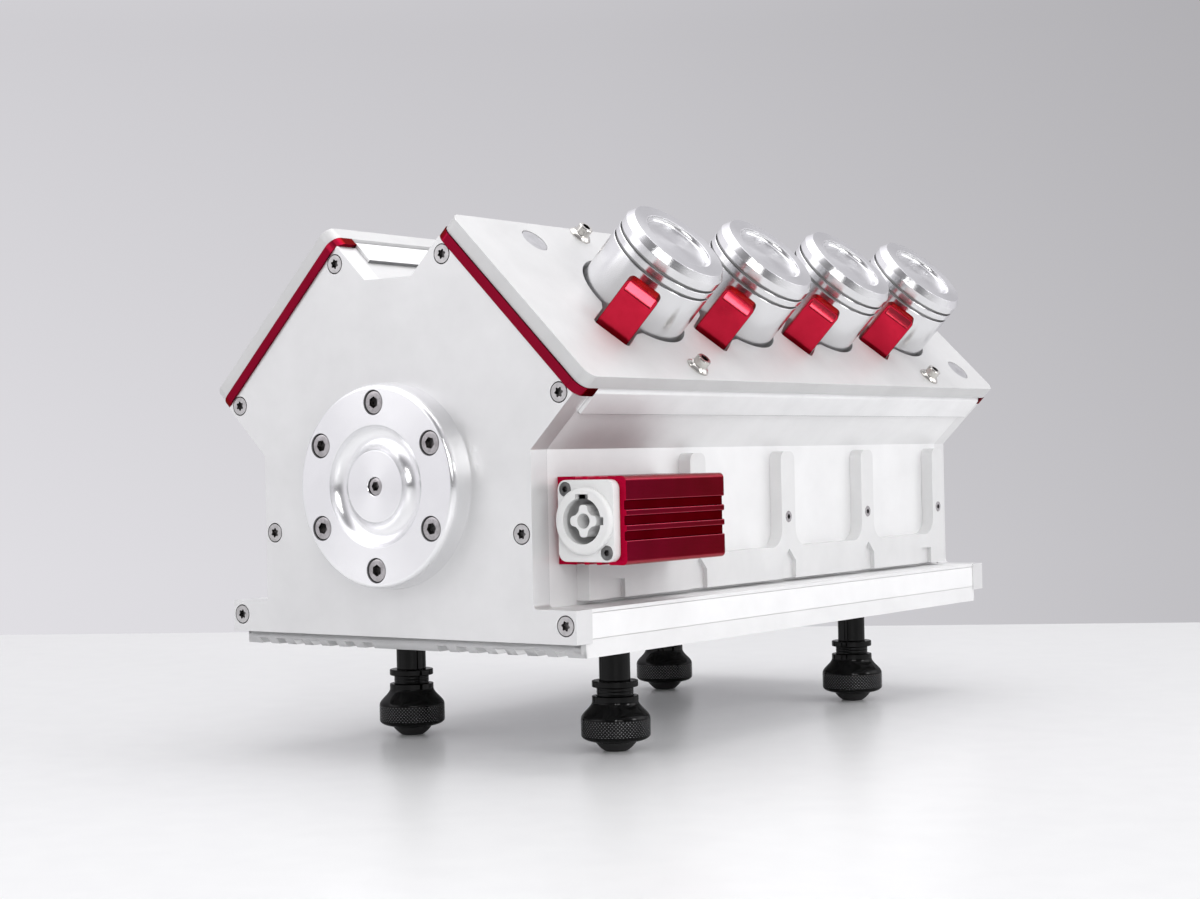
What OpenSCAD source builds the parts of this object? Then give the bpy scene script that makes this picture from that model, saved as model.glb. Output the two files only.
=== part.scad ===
// Desktop appliance built like a small V8 engine block. It stands on four levelling feet, with the
// front plate towards -Y and the power inlet on the +X side. Eight piston caps slide in the two banks.

/* [Block] */
// Length of the body over both end plates
body_l = 340; // [300:1:400]
// Thickness of each end plate
plate_t = 10; // [8:0.5:14]
// Width of the end plates at the base
base_w = 180; // [170:1:200]
// Height of the ledge on which the side recess starts
ledge_h = 12.8; // [11:0.1:16]
// Width over the side walls at the waist
waist_w = 140; // [136:1:150]
// Width over the two shoulders
shoulder_w = 181; // [176:1:190]
// Height of the waist, where the walls start to slope out, above the plate's lower edge
waist_z = 73; // [68:0.5:90]
// Width of the valley between the banks
valley_w = 54; // [48:1:60]
// Depth of the valley
valley_d = 14.7; // [12:0.1:18]
// Thickness of the side walls and of the valley's sides
wall_t = 10; // [9:0.5:12]
// Thickness of the valley's floor
valley_floor_t = 6; // [4:0.5:8]

/* [Base] */
// Depth of the base below the end plates
base_drop = 5.5; // [4:0.1:8]
// How far the base's sides lie inside the end plates
base_inset = 0.5; // [0.2:0.1:1]
// Radius of the base's lower corners
base_corner_r = 5; // [3:0.5:8]
// Distance of the base's lower part behind the front plate's face
base_front = 5; // [3:0.5:8]
// Bevel along the base's lower front and rear edges
base_bevel = 2.5; // [1:0.5:3]
// Height of the side inlay panels
inlay_h = 10; // [8:0.5:10.5]
// Thickness of the side inlay panels
inlay_t = 1; // [0.6:0.1:1]
// Grooves under each half of the base
groove_n = 7; // [3:1:7]
// Distance from one groove to the next
groove_pitch = 9.7; // [8:0.1:10]
// Distance of the innermost grooves from the middle plane
groove_in = 17.4; // [15:0.1:22]
// Width of a groove
groove_w = 4.8; // [3:0.1:6]
// Depth of a groove
groove_d = 2.5; // [1:0.5:3]

/* [Decks] */
// Height of the gap under the deck's edge, filled by the trim bars
deck_gap = 4; // [3:0.5:6]
// Thickness of a deck
deck_t = 6; // [5:0.5:8]
// How far a deck stands out past the bank on each side
deck_over = 1.5; // [1:0.1:2]
// Radius of a deck's corners
deck_corner_r = 5; // [3:0.5:8]
// Radius of the two round dimples in a deck
dimple_r = 6; // [4:0.5:6]
// Depth of the dimples
dimple_d = 1.5; // [0.5:0.1:2]
// Thickness of the discs in the dimples
disc_t = 1.2; // [0.4:0.1:1.6]
// How far the trim bars reach past the plate's faces
trim_over = 0.9; // [0.5:0.1:1.5]
// Depth of the trim bars at the rear, where the decks run further back
trim_rear = 5.2; // [3:0.1:8]
// Thickness of the bars along the banks' edges
bar_t = 1.5; // [1:0.1:1.5]
// Height of the bars below the bank plane
bar_h = 9.3; // [6:0.1:10]

/* [Pistons] */
// Diameter of a piston cap
piston_d = 47; // [42:0.5:48]
// Length of a piston cap
piston_l = 54.5; // [50:0.5:56]
// Height of a raised crown above the deck
piston_up = 32; // [30:0.5:36]
// Travel of a piston cap, downwards from its raised place
travel = 18; // [10:0.5:20]
// Wall of a piston cap's skirt
skirt_t = 3; // [2:0.5:4]
// Thickness of a crown
crown_t = 8; // [6:0.5:10]
// Radius of the dish in a crown
dish_r = 15.5; // [12:0.5:17]
// Depth of the dish
dish_d = 2; // [1:0.5:3]
// Distance from one cylinder to the next
bore_pitch = 70; // [68:0.5:72]
// How far the row of cylinders sits behind the body's middle
bore_shift = 12; // [5:0.5:12]
// Distance of the cylinders' axes from the bank's lower edge
bore_s = 46; // [44:0.5:46]
// Gap between a piston cap and its hole in the deck
deck_hole_gap = 1.5; // [1:0.1:2]
// Gap between a piston cap and its liner
liner_gap = 0.35; // [0.3:0.05:0.6]
// Wall of a liner
liner_t = 2.6; // [2:0.1:3]
// Length of a liner
liner_l = 38; // [34:0.5:40]

/* [Tabs] */
// Width of a pull tab
tab_w = 15; // [10:0.5:15]
// Thickness of a pull tab
tab_t = 7; // [5:0.5:8]
// Distance from a piston's axis to its tab's inner face
tab_r = 34; // [33:0.5:35]
// Height of a raised tab above the deck
tab_up = 21.5; // [16:0.5:22]
// How far the finger lip stands out from the tab
lip_out = 2.3; // [1:0.1:2.5]
// Height of the finger lip
lip_h = 4; // [3:0.5:5]
// Width of the arm between a tab and its piston
arm_w = 10; // [6:0.5:10]
// Thickness of that arm
arm_t = 6; // [4:0.5:6]

/* [Side combs] */
// Thickness of the comb-shaped reinforcement on each side
comb_t = 6; // [4:0.5:8]
// Height of its lower band
band_h = 14.2; // [12:0.1:16]
// Width of its fingers
finger_w = 11.5; // [9:0.5:13]
// Height of its fingers above the plate's lower edge
finger_top = 70.6; // [60:0.1:71]
// Distance from one finger to the next
finger_pitch = 72; // [68:0.5:73]

/* [Hub] */
// Diameter of the round front cover
hub_d = 79; // [74:1:84]
// How far the cover stands out from the front plate
hub_h = 10; // [8:0.5:12]
// Height of the cover's centre above the plate's lower edge
hub_z = 60; // [56:1:64]
// Radius of the ring of cover bolts
hub_bolt_r = 33; // [31:0.5:34]

/* [Power box] */
// Width of the box from the wall outwards
box_w = 32; // [30:0.5:36]
// Length of the box
box_l = 67.5; // [60:0.5:72]
// Height of the box
box_h = 33.5; // [32:0.5:36]
// Width of the inlet's flange
inlet_w = 26; // [26:0.5:28]
// Height of the inlet's flange
inlet_h = 31; // [31:0.5:32]
// Radius of the inlet's socket
socket_r = 8.8; // [8.5:0.1:9]

/* [Feet] */
// Distance of the feet from the middle plane
foot_x = 55; // [45:1:62]
// Distance from a foot to the nearer end of the body, in front
foot_in = 72; // [50:1:90]
// Height of the plates' lower edge above the table
foot_h = 50; // [48:1:54]
// Diameter of a foot's knurled ring
bell_d = 28.5; // [26:0.5:32]
// Diameter of a foot's stem
stem_d = 12.8; // [11:0.1:13]
// Diameter of a foot's thread
thread_d = 15.2; // [14:0.1:16]

/* [Hidden] */
$fn = 64;
eps = 0.01;
fit = 0.05;
thread_gap = 0.08;

c45 = cos(45);
waist_x = waist_w / 2;
base_x = base_w / 2;
shoulder_x = shoulder_w / 2;
shoulder_h = waist_z + shoulder_x - waist_x;
peak_x = valley_w / 2;
peak_z = shoulder_h + shoulder_x - peak_x;
valley_x = peak_x - valley_d;
valley_z = peak_z - valley_d;
bank_w = (shoulder_x - peak_x) / c45;
inside_l = body_l - 2 * plate_t;
front_y = hub_h - (hub_h + body_l + trim_over) / 2;
corner_fillet_r = 4;

// Fasteners
lobed_head_r = 4;
lobed_shank_r = 2;
lobed_l = 16;
plate_screws = [
    [peak_x + 1.3, peak_z - 7.15],
    [shoulder_x - 6.5, shoulder_h + 0.7],
    [waist_x - wall_t / 2, 41.2],
    [base_x - 5, 7]
];
hub_head_r = 4.5;
hub_head_h = 4;
hub_shank_r = 2.5;
hub_centre_r = 3.4;
hub_centre_h = 3;
comb_head_r = 2.6;
comb_shank_r = 1.5;
comb_screw_z = 41.7;
inlet_head_r = 2.75;
inlet_shank_r = 1.5;
stud_flange_r = 5;
stud_flange_h = 1.5;
stud_head_r = 3.2;
stud_head_h = 3.5;
stud_shank_r = 2;
stud_low = 2;

// Decks
deck_low = -deck_over;
deck_high = bank_w + deck_over;
boss_in = 1.3;
boss_end = plate_t + 1.5;
trim_gap = 0.7;
trim_corner_r = deck_corner_r + 0.5;
deck_hole_r = piston_d / 2 + deck_hole_gap;
liner_r = piston_d / 2 + liner_gap;
flange_r = liner_r + liner_t + 3.5;
flange_t = 3;
bores = [for (k = [0:3]) body_l / 2 + bore_shift + (k - 1.5) * bore_pitch];
slot_end = tab_r + tab_t + 3;
slot_w = tab_w + 2;
tab_angle = -60;
studs = [[bank_w - 2.8, 80], [6, 80], [6, body_l - 60], [bank_w - 2.8, body_l - 60]];
dimples = [[80.2, 43.2], [12.3, body_l - 19.7]];
crown_n = deck_gap + deck_t + piston_up;
skirt_n = crown_n - piston_l;
tab_top_n = deck_gap + deck_t + tab_up;
arm_n = skirt_n + 3.5;
ring_h = 1;
ring_d = 0.9;
ring_steps = [7, 11];

// Side combs
comb_low = ledge_h + 1.6;
comb_y = [27.5, body_l - 13.5];
last_finger = comb_y[1] - finger_w / 2 + 0.25;
fingers_right = [for (k = [3:-1:0]) last_finger - k * finger_pitch];
fingers_left = [for (k = [4:-1:0]) last_finger - k * finger_pitch];
finger_fillet_r = 8;
finger_tip_r = 3.5;
pocket_d = 2;

// Power box
box_y = plate_t + 6.5;
box_z = 29;
box_wall = 3;
box_edge_r = 2;
box_groove_w = 3.5;
box_groove_d = 1;
box_groove_pitch = 5.8;
inlet_x = waist_x + box_w / 2;
inlet_z = box_z + box_h / 2;
inlet_t = 4;
inlet_screws_at = [[-9.5, 12], [9.5, -12]];
inlet_corner_r = 3.5;
inlet_ring_r = 12.8;
inlet_ring_h = 2.5;
core_r = 11.5;
core_l = 28;
spigot_r = 4.6;
spigot_hole_r = 2.9;
lead_r = 3;
lead_bend_r = 10;

// Power supply inside the base
supply_w = 70;
supply_l = 120;
supply_h = 40;
supply_y = box_y + 20;

// Feet, measured down from the plates' lower edge
foot_places = [for (x = [-foot_x, foot_x], y = [foot_in, body_l - foot_in]) [x, y]];
ring_z = 21.3;
ring_t = 2.6;
ring_r = 9.5;
spigot_up = 12;
foot_spigot_r = 5;
bell_top = 27.5;
bell_floor = 38;
neck_r = 9.55;
neck_l = 2.1;
flare_h = 7.6;
thread_end = 34;
pad_top = foot_h - 4;
pad_stud_r = 3;
pad_stud_l = 5;
foot_seat_r = 9.5;

// ---- Places and helpers -------------------------------------------------------------------

// From the corner where the front plate's face meets its lower edge to the part's own frame
module stand() {
    translate([0, front_y, foot_h]) children();
}

// One bank's frame: X down the slope from the shoulder, Y backwards, Z away from the bank
module bank(side) {
    if (side > 0)
        stand() translate([shoulder_x, 0, shoulder_h]) rotate([0, 45, 0]) children();
    else
        stand() mirror([1, 0, 0]) translate([shoulder_x, 0, shoulder_h]) rotate([0, 45, 0]) children();
}

module both_sides() {
    children();
    mirror([1, 0, 0]) children();
}

// A section in X and Z, drawn out along Y from y0 to y1
module along_y(y0, y1) {
    translate([0, y1, 0]) rotate([90, 0, 0]) linear_extrude(y1 - y0) children();
}

// A section in Y and Z, drawn out along X from x0 to x1
module along_x(x0, x1) {
    translate([x0, 0, 0]) rotate([90, 0, 90]) linear_extrude(x1 - x0) children();
}

module rounded_rect(x0, x1, y0, y1, r) {
    translate([x0 + r, y0]) square([x1 - x0 - 2 * r, y1 - y0]);
    translate([x0, y0 + r]) square([x1 - x0, y1 - y0 - 2 * r]);
    for (x = [x0 + r, x1 - r], y = [y0 + r, y1 - r])
        translate([x, y]) circle(r);
}

// Points of an arc round centre c, from angle a0 to a1
function arc(c, r, a0, a1, n) =
    [for (k = [0:n]) c + r * [cos(a0 + (a1 - a0) * k / n), sin(a0 + (a1 - a0) * k / n)]];

// A round part that points along -Y, with its head's face at y = 0
module facing_front() {
    rotate([90, 0, 0]) children();
}

// Six-lobed recess of a countersunk screw
module lobed_recess(r, depth) {
    translate([0, 0, -depth]) linear_extrude(depth + 1) {
        circle(0.75 * r);
        for (a = [0:60:300])
            rotate(a) translate([0.8 * r, 0]) circle(0.28 * r);
    }
}

// Countersunk screw pointing down -Z, with its face at z = 0
module countersunk_screw(head_r, shank_r, length) {
    difference() {
        union() {
            translate([0, 0, -(head_r - shank_r)])
                cylinder(h = head_r - shank_r, r1 = shank_r, r2 = head_r);
            translate([0, 0, -length]) cylinder(h = length - (head_r - shank_r) + eps, r = shank_r);
        }
        lobed_recess(0.5 * head_r, 0.4 * head_r);
    }
}

// Its hole, with the fit's clearance round the shank
module countersunk_hole(head_r, shank_r, length) {
    translate([0, 0, -(head_r - shank_r)])
        cylinder(h = head_r - shank_r + fit, r1 = shank_r + fit, r2 = head_r + 2 * fit);
    translate([0, 0, -length - fit]) cylinder(h = length + fit, r = shank_r + fit);
}

// Socket-head screw pointing down -Z, with its head's top at z = 0
module socket_screw(head_r, head_h, shank_r, length, hex_r) {
    difference() {
        union() {
            translate([0, 0, -head_h]) cylinder(h = head_h, r = head_r);
            translate([0, 0, -length]) cylinder(h = length - head_h + eps, r = shank_r);
        }
        translate([0, 0, -0.6 * head_h]) cylinder(h = head_h, r = hex_r, $fn = 6);
    }
}

module socket_hole(head_r, head_h, shank_r, length) {
    translate([0, 0, -head_h]) cylinder(h = head_h + 1, r = head_r + 0.4);
    translate([0, 0, -length - fit]) cylinder(h = length + fit, r = shank_r + fit);
}

// ---- Block --------------------------------------------------------------------------------

// Outline of an end plate, from the left half round to the right
function half_outline() = concat(
    [[base_x, 0], [base_x, ledge_h]],
    arc([waist_x + corner_fillet_r, ledge_h + corner_fillet_r], corner_fillet_r, 270, 180, 6),
    [[waist_x, waist_z], [shoulder_x, shoulder_h], [peak_x, peak_z], [valley_x, valley_z]]
);

module plate_outline() {
    right = half_outline();
    left = [for (k = [len(right) - 1:-1:0]) [-right[k][0], right[k][1]]];
    polygon(concat(right, left));
}

module front_screw_places() {
    for (p = plate_screws)
        both_sides() translate([p[0], 0, p[1]]) facing_front() children();
}

module rear_screw_places() {
    for (p = plate_screws)
        both_sides() translate([p[0], body_l, p[1]]) rotate([-90, 0, 0]) children();
}

module plate_screw_holes() {
    front_screw_places() countersunk_hole(lobed_head_r, lobed_shank_r, lobed_l);
    rear_screw_places() countersunk_hole(lobed_head_r, lobed_shank_r, lobed_l);
}

module front_plate() {
    color("gainsboro") stand() difference() {
        along_y(0, plate_t) plate_outline();
        plate_screw_holes();
        hub_bolt_places() socket_hole(hub_head_r, hub_head_h, hub_shank_r, hub_h + 8);
        hub_centre() socket_hole(hub_centre_r, hub_centre_h, hub_shank_r, hub_h + 8);
    }
}

module rear_plate() {
    color("gainsboro") stand() difference() {
        along_y(body_l - plate_t, body_l) plate_outline();
        plate_screw_holes();
    }
}

// Section of the right wall: upright to the waist, then out to the shoulder
module wall_section() {
    land_x = shoulder_x - wall_t * c45;
    land_z = shoulder_h + wall_t * c45;
    polygon([
        [waist_x, ledge_h], [waist_x, waist_z], [shoulder_x, shoulder_h], [land_x, land_z],
        [waist_x - wall_t, land_z - land_x + waist_x - wall_t], [waist_x - wall_t, ledge_h]
    ]);
}

module wall_right() {
    color("whitesmoke") stand() difference() {
        along_y(plate_t, body_l - plate_t) wall_section();
        plate_screw_holes();
        comb_screw_places(fingers_right) comb_screw_hole();
        translate([waist_x - wall_t - 1, lead_y(), inlet_z]) rotate([0, 90, 0])
            cylinder(h = wall_t + 2, r = lead_r + 0.4);
    }
}

module wall_left() {
    color("whitesmoke") stand() difference() {
        mirror([1, 0, 0]) along_y(plate_t, body_l - plate_t) wall_section();
        plate_screw_holes();
        mirror([1, 0, 0]) comb_screw_places(fingers_left) comb_screw_hole();
    }
}

module valley_channel() {
    land_x = peak_x + wall_t * c45;
    land_z = peak_z - wall_t * c45;
    under_z = valley_z - valley_floor_t;
    under_x = land_x - (land_z - under_z);
    right = [[under_x, under_z], [land_x, land_z], [peak_x, peak_z], [valley_x, valley_z]];
    left = [for (k = [3:-1:0]) [-right[k][0], right[k][1]]];
    color("whitesmoke") difference() {
        stand() difference() {
            along_y(plate_t, body_l - plate_t) polygon(concat(right, left));
            plate_screw_holes();
        }
        for (side = [-1, 1])
            bank(side) for (y = bores)
                translate([-bore_s, y, -flange_t - fit])
                    cylinder(h = flange_t + fit + 1, r = flange_r + fit);
    }
}

// ---- Base ---------------------------------------------------------------------------------

module base_plate() {
    side = base_x - base_inset;
    inlay_z = (ledge_h - inlay_h) / 2;
    first = groove_in + groove_w / 2;
    color("whitesmoke") stand() difference() {
        union() {
            translate([-side, plate_t, -1]) cube([2 * side, inside_l, ledge_h + 1]);
            translate([0, 0, -base_drop]) linear_extrude(base_drop)
                rounded_rect(-side, side, base_front, body_l - base_front, base_corner_r);
        }
        for (end = [0, 1])
            translate([0, end * body_l, 0]) mirror([0, end, 0]) along_x(-base_x, base_x)
                polygon([[base_front - 1, -base_drop - 1], [base_front + base_bevel + 1, -base_drop - 1],
                    [base_front - 1, base_bevel + 1 - base_drop]]);
        difference() {
            for (k = [0:groove_n - 1], s = [-1, 1])
                translate([s * (first + k * groove_pitch) - groove_w / 2, 0, -base_drop - 1])
                    cube([groove_w, body_l, groove_d + 1]);
            for (p = foot_places)
                translate([p[0], p[1], -base_drop - 2]) cylinder(h = groove_d + 4, r = foot_seat_r);
        }
        for (s = [-1, 1])
            translate([s > 0 ? side - inlay_t : -side - 1, plate_t - 1, inlay_z])
                cube([inlay_t + 1, inside_l + 2, inlay_h]);
        for (p = foot_places)
            translate([p[0], p[1], -base_drop - 1])
                cylinder(h = spigot_up + 1 + fit, r = foot_spigot_r + fit);
        plate_screw_holes();
    }
}

module side_inlays() {
    side = base_x - base_inset;
    inlay_z = (ledge_h - inlay_h) / 2;
    line = 0.2;
    color("white") stand() both_sides()
        translate([side - inlay_t, plate_t, inlay_z + line]) cube([inlay_t, inside_l, inlay_h - 2 * line]);
}

// ---- Banks --------------------------------------------------------------------------------

module keyhole(y) {
    translate([-bore_s, y]) {
        circle(deck_hole_r);
        rotate(tab_angle) rounded_rect(0, slot_end, -slot_w / 2, slot_w / 2, 1.5);
    }
}

module deck(side) {
    top = deck_gap + deck_t;
    color("whitesmoke") bank(side) difference() {
        union() {
            translate([0, 0, deck_gap]) linear_extrude(deck_t)
                rounded_rect(-deck_high, -deck_low, 0, body_l, deck_corner_r);
            linear_extrude(deck_gap + eps)
                translate([-bank_w + boss_in, boss_end])
                    square([bank_w - 2 * boss_in, body_l - 2 * boss_end]);
        }
        for (y = bores)
            translate([0, 0, -1]) linear_extrude(top + 2) keyhole(y);
        for (p = dimples)
            translate([-p[0], p[1], top - dimple_d]) cylinder(h = dimple_d + 1, r = dimple_r);
        for (p = studs)
            translate([-p[0], p[1], stud_low - fit]) cylinder(h = top, r = stud_shank_r + fit);
    }
}

module deck_right() {
    deck(1);
}

module deck_left() {
    deck(-1);
}

// The bars that cap a bank's two long edges, each with a lip hooked over the wall
module edge_bars(side) {
    lip = deck_gap - fit;
    lip_in = 0.4;
    hook = boss_in - 0.3;
    color("silver") bank(side) for (edge = [0, 1])
        translate([edge ? -bank_w : 0, 0, 0]) mirror([edge, 0, 0])
            along_y(boss_end, body_l - trim_rear - trim_gap)
                polygon([[0, -bar_h], [bar_t, -bar_h], [bar_t, bar_t], [-lip_in, lip], [-lip_in, bar_t],
                    [-hook, bar_t], [-hook, 0], [0, 0]]);
}

module edge_bars_right() {
    edge_bars(1);
}

module edge_bars_left() {
    edge_bars(-1);
}

module trim(side, rear) {
    y0 = rear ? body_l - trim_rear : -trim_over;
    y1 = rear ? body_l + trim_over : boss_end - trim_gap;
    out = 0.1;
    inner = rear ? y0 - trim_corner_r : y0;
    depth = y1 - y0 + trim_corner_r;
    color("darkred") bank(side) intersection() {
        linear_extrude(deck_gap)
            rounded_rect(-deck_high - out, -deck_low + out, inner, inner + depth, trim_corner_r);
        translate([-deck_high - out - 1, y0, -1])
            cube([deck_high - deck_low + 2 * out + 2, y1 - y0, deck_gap + 2]);
    }
}

module trim_front_right() {
    trim(1, false);
}

module trim_front_left() {
    trim(-1, false);
}

module trim_rear_right() {
    trim(1, true);
}

module trim_rear_left() {
    trim(-1, true);
}

// Flat steel discs pressed into the decks' dimples
module deck_discs() {
    top = deck_gap + deck_t;
    color("silver") for (side = [1, -1])
        bank(side) for (p = dimples)
            translate([-p[0], p[1], top - dimple_d]) cylinder(h = disc_t, r = dimple_r - fit);
}

module deck_studs(side) {
    top = deck_gap + deck_t;
    color("silver") bank(side) for (p = studs)
        translate([-p[0], p[1], top]) {
            difference() {
                union() {
                    cylinder(h = stud_flange_h, r1 = stud_flange_r, r2 = stud_flange_r - 0.8);
                    cylinder(h = stud_flange_h + stud_head_h, r = stud_head_r);
                    translate([0, 0, stud_low - top]) cylinder(h = top - stud_low + eps, r = stud_shank_r);
                }
                translate([0, 0, stud_flange_h + stud_head_h - 2]) cylinder(h = 3, r = 1.8, $fn = 6);
            }
        }
}

module deck_studs_right() {
    deck_studs(1);
}

module deck_studs_left() {
    deck_studs(-1);
}

// ---- Cylinders ----------------------------------------------------------------------------

module liners(side) {
    color("silver") bank(side) for (y = bores)
        translate([-bore_s, y, 0]) difference() {
            union() {
                translate([0, 0, -liner_l]) cylinder(h = liner_l, r = liner_r + liner_t);
                translate([0, 0, -flange_t]) cylinder(h = flange_t, r = flange_r);
            }
            translate([0, 0, -liner_l - 1]) cylinder(h = liner_l + 2, r = liner_r);
            rotate(tab_angle) translate([0, -arm_w / 2 - 1.5, arm_n - travel - 1.5])
                cube([flange_r + 2, arm_w + 3, travel - arm_n + 3]);
            for (next = [-1, 1])
                translate([0, next * bore_pitch, -liner_l - 1]) rotate(tab_angle)
                    linear_extrude(liner_l + 2) translate([0, -slot_w / 2]) square([slot_end, slot_w]);
        }
}

module liners_right() {
    liners(1);
}

module liners_left() {
    liners(-1);
}

// A piston cap with two ring grooves, a bevelled crown, a dish and a hollow skirt
module piston(side, k) {
    r = piston_d / 2;
    bevel_w = 2;
    bevel_h = 3;
    grooves = [for (step = ring_steps)
        [[r, crown_n - step + ring_h / 2], [r - ring_d, crown_n - step + ring_h / 2],
         [r - ring_d, crown_n - step - ring_h / 2], [r, crown_n - step - ring_h / 2]]];
    profile = concat(
        [[0, crown_n - crown_t], [r - skirt_t, crown_n - crown_t], [r - skirt_t, skirt_n], [r, skirt_n]],
        [for (j = [1:-1:0], i = [3:-1:0]) grooves[j][i]],
        [[r, crown_n - bevel_h], [r - bevel_w, crown_n]],
        arc([dish_r - dish_d, crown_n], dish_d, 0, -90, 6),
        [[0, crown_n - dish_d]]
    );
    color("silver") bank(side) translate([-bore_s, bores[k], 0]) difference() {
        rotate_extrude() polygon(profile);
        rotate(tab_angle) translate([r - skirt_t - 2, -arm_w / 2, arm_n])
            cube([skirt_t + 4, arm_w, arm_t]);
    }
}

module piston_r1() {
    piston(1, 0);
}

module piston_r2() {
    piston(1, 1);
}

module piston_r3() {
    piston(1, 2);
}

module piston_r4() {
    piston(1, 3);
}

module piston_l1() {
    piston(-1, 0);
}

module piston_l2() {
    piston(-1, 1);
}

module piston_l3() {
    piston(-1, 2);
}

module piston_l4() {
    piston(-1, 3);
}

// A pull tab with a hollowed finger lip, and the arm that joins it to its piston's skirt
module tab(side, k) {
    outer = tab_r + tab_t;
    profile = concat(
        [[tab_r, arm_n], [outer, arm_n]],
        arc([outer + lip_out, tab_top_n - lip_h - lip_out], lip_out, 180, 90, 6),
        [[outer + lip_out, tab_top_n], [tab_r, tab_top_n]]
    );
    color("crimson") bank(side) translate([-bore_s, bores[k], 0]) rotate(tab_angle) {
        intersection() {
            along_y(-tab_w / 2, tab_w / 2) polygon(profile);
            along_x(tab_r - 1, outer + lip_out + 1)
                rounded_rect(-tab_w / 2, tab_w / 2, arm_n - 3, tab_top_n, 2.5);
        }
        translate([piston_d / 2 - skirt_t, -arm_w / 2, arm_n])
            cube([tab_r - piston_d / 2 + skirt_t + eps, arm_w, arm_t]);
    }
}

module tab_r1() {
    tab(1, 0);
}

module tab_r2() {
    tab(1, 1);
}

module tab_r3() {
    tab(1, 2);
}

module tab_r4() {
    tab(1, 3);
}

module tab_l1() {
    tab(-1, 0);
}

module tab_l2() {
    tab(-1, 1);
}

module tab_l3() {
    tab(-1, 2);
}

module tab_l4() {
    tab(-1, 3);
}

// ---- Side combs ---------------------------------------------------------------------------

module comb_screw_places(fingers) {
    for (y = fingers)
        translate([waist_x + comb_t, y, comb_screw_z]) rotate([0, 90, 0]) children();
}

module comb_screw_hole() {
    countersunk_hole(comb_head_r, comb_shank_r, comb_t + 6);
}

// Upper edge of one finger, from the fillet at its front to the fillet at its back
function finger_edge(y) = let(
    top = comb_low + band_h,
    f = finger_fillet_r,
    h = finger_w / 2,
    t = finger_tip_r
) concat(
    arc([y - h - f, top + f], f, 270, 360, 8),
    arc([y - h + t, finger_top - t], t, 180, 90, 5),
    arc([y + h - t, finger_top - t], t, 90, 0, 5),
    arc([y + h + f, top + f], f, 180, 270, 8)
);

// The band with its fingers, cut off square at both ends
module comb_outline(fingers) {
    margin = finger_w + finger_fillet_r;
    start = comb_y[0] - margin;
    end = comb_y[1] + margin;
    top = comb_low + band_h;
    edge = [for (y = fingers) each finger_edge(y)];
    intersection() {
        polygon(concat([[end, comb_low], [start, comb_low], [start, top]], edge, [[end, top]]));
        translate([comb_y[0], 0]) square([comb_y[1] - comb_y[0], finger_top + 1]);
    }
}

// Shallow arched pocket below a finger, open at its lower end
module comb_pocket(y) {
    w = 5.3;
    low = comb_low - 1;
    polygon([[y - w, low], [y + w, low], [y + w, comb_low + 7.8], [y, comb_low + 13.1],
        [y - w, comb_low + 7.8]]);
}

module comb(fingers) {
    outer = waist_x + comb_t;
    color("whitesmoke") difference() {
        along_x(waist_x, outer) comb_outline(fingers);
        along_x(outer - pocket_d, outer + 1) {
            for (y = fingers)
                if (y > comb_y[0] + 20 && y < comb_y[1] - 20)
                    comb_pocket(y);
            for (y = [comb_y[0] + 14.2, comb_y[1] - 23.8])
                translate([y, comb_low - 1]) square([9.6, 8.4]);
        }
        comb_screw_places(fingers) comb_screw_hole();
    }
}

module comb_right() {
    stand() comb(fingers_right);
}

module comb_left() {
    stand() mirror([1, 0, 0]) comb(fingers_left);
}

// ---- Hub ----------------------------------------------------------------------------------

module hub_centre() {
    translate([0, -hub_h, hub_z]) facing_front() children();
}

module hub_bolt_places() {
    for (a = [30:60:330])
        translate([hub_bolt_r * cos(a), -hub_h, hub_z + hub_bolt_r * sin(a)]) facing_front() children();
}

// Turned cover: a slightly flared rim, a flat bolt ring, a round trough and a boss in the middle
module hub_cover() {
    r = hub_d / 2;
    flare = 1.5;
    edge = 1.5;
    boss = 14.3;
    trough = 24;
    trough_r = (trough - boss) / 2;
    profile = concat(
        [[0, 0], [r + flare, 0], [r + flare, 0.6]],
        arc([r + flare, 0.6 + flare], flare, 270, 180, 4),
        arc([r - edge, hub_h - edge], edge, 0, 90, 4),
        arc([(trough + boss) / 2, hub_h], trough_r, 360, 180, 12),
        [[0, hub_h]]
    );
    color("silver") stand() difference() {
        translate([0, 0, hub_z]) facing_front() rotate_extrude() polygon(profile);
        hub_bolt_places() socket_hole(hub_head_r, hub_head_h, hub_shank_r, hub_h + 8);
        hub_centre() socket_hole(hub_centre_r, hub_centre_h, hub_shank_r, hub_h + 8);
    }
}

module hub_screws() {
    color("dimgray") stand() hub_bolt_places()
        socket_screw(hub_head_r, hub_head_h, hub_shank_r, hub_h + 8, 2.3);
}

module hub_centre_screw() {
    color("dimgray") stand() hub_centre()
        socket_screw(hub_centre_r, hub_centre_h, hub_shank_r, hub_h + 8, 2);
}

// ---- Screws of the plates and combs -------------------------------------------------------

module front_screws() {
    color("gray") stand() front_screw_places() countersunk_screw(lobed_head_r, lobed_shank_r, lobed_l);
}

module rear_screws() {
    color("gray") stand() rear_screw_places() countersunk_screw(lobed_head_r, lobed_shank_r, lobed_l);
}

module comb_screws() {
    color("gray") stand() {
        comb_screw_places(fingers_right) countersunk_screw(comb_head_r, comb_shank_r, comb_t + 6);
        mirror([1, 0, 0]) comb_screw_places(fingers_left)
            countersunk_screw(comb_head_r, comb_shank_r, comb_t + 6);
    }
}

// ---- Power inlet --------------------------------------------------------------------------

function lead_y() = box_y + core_l + 4 + lead_bend_r;

module inlet_frame() {
    translate([inlet_x, box_y, inlet_z]) facing_front() children();
}

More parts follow.
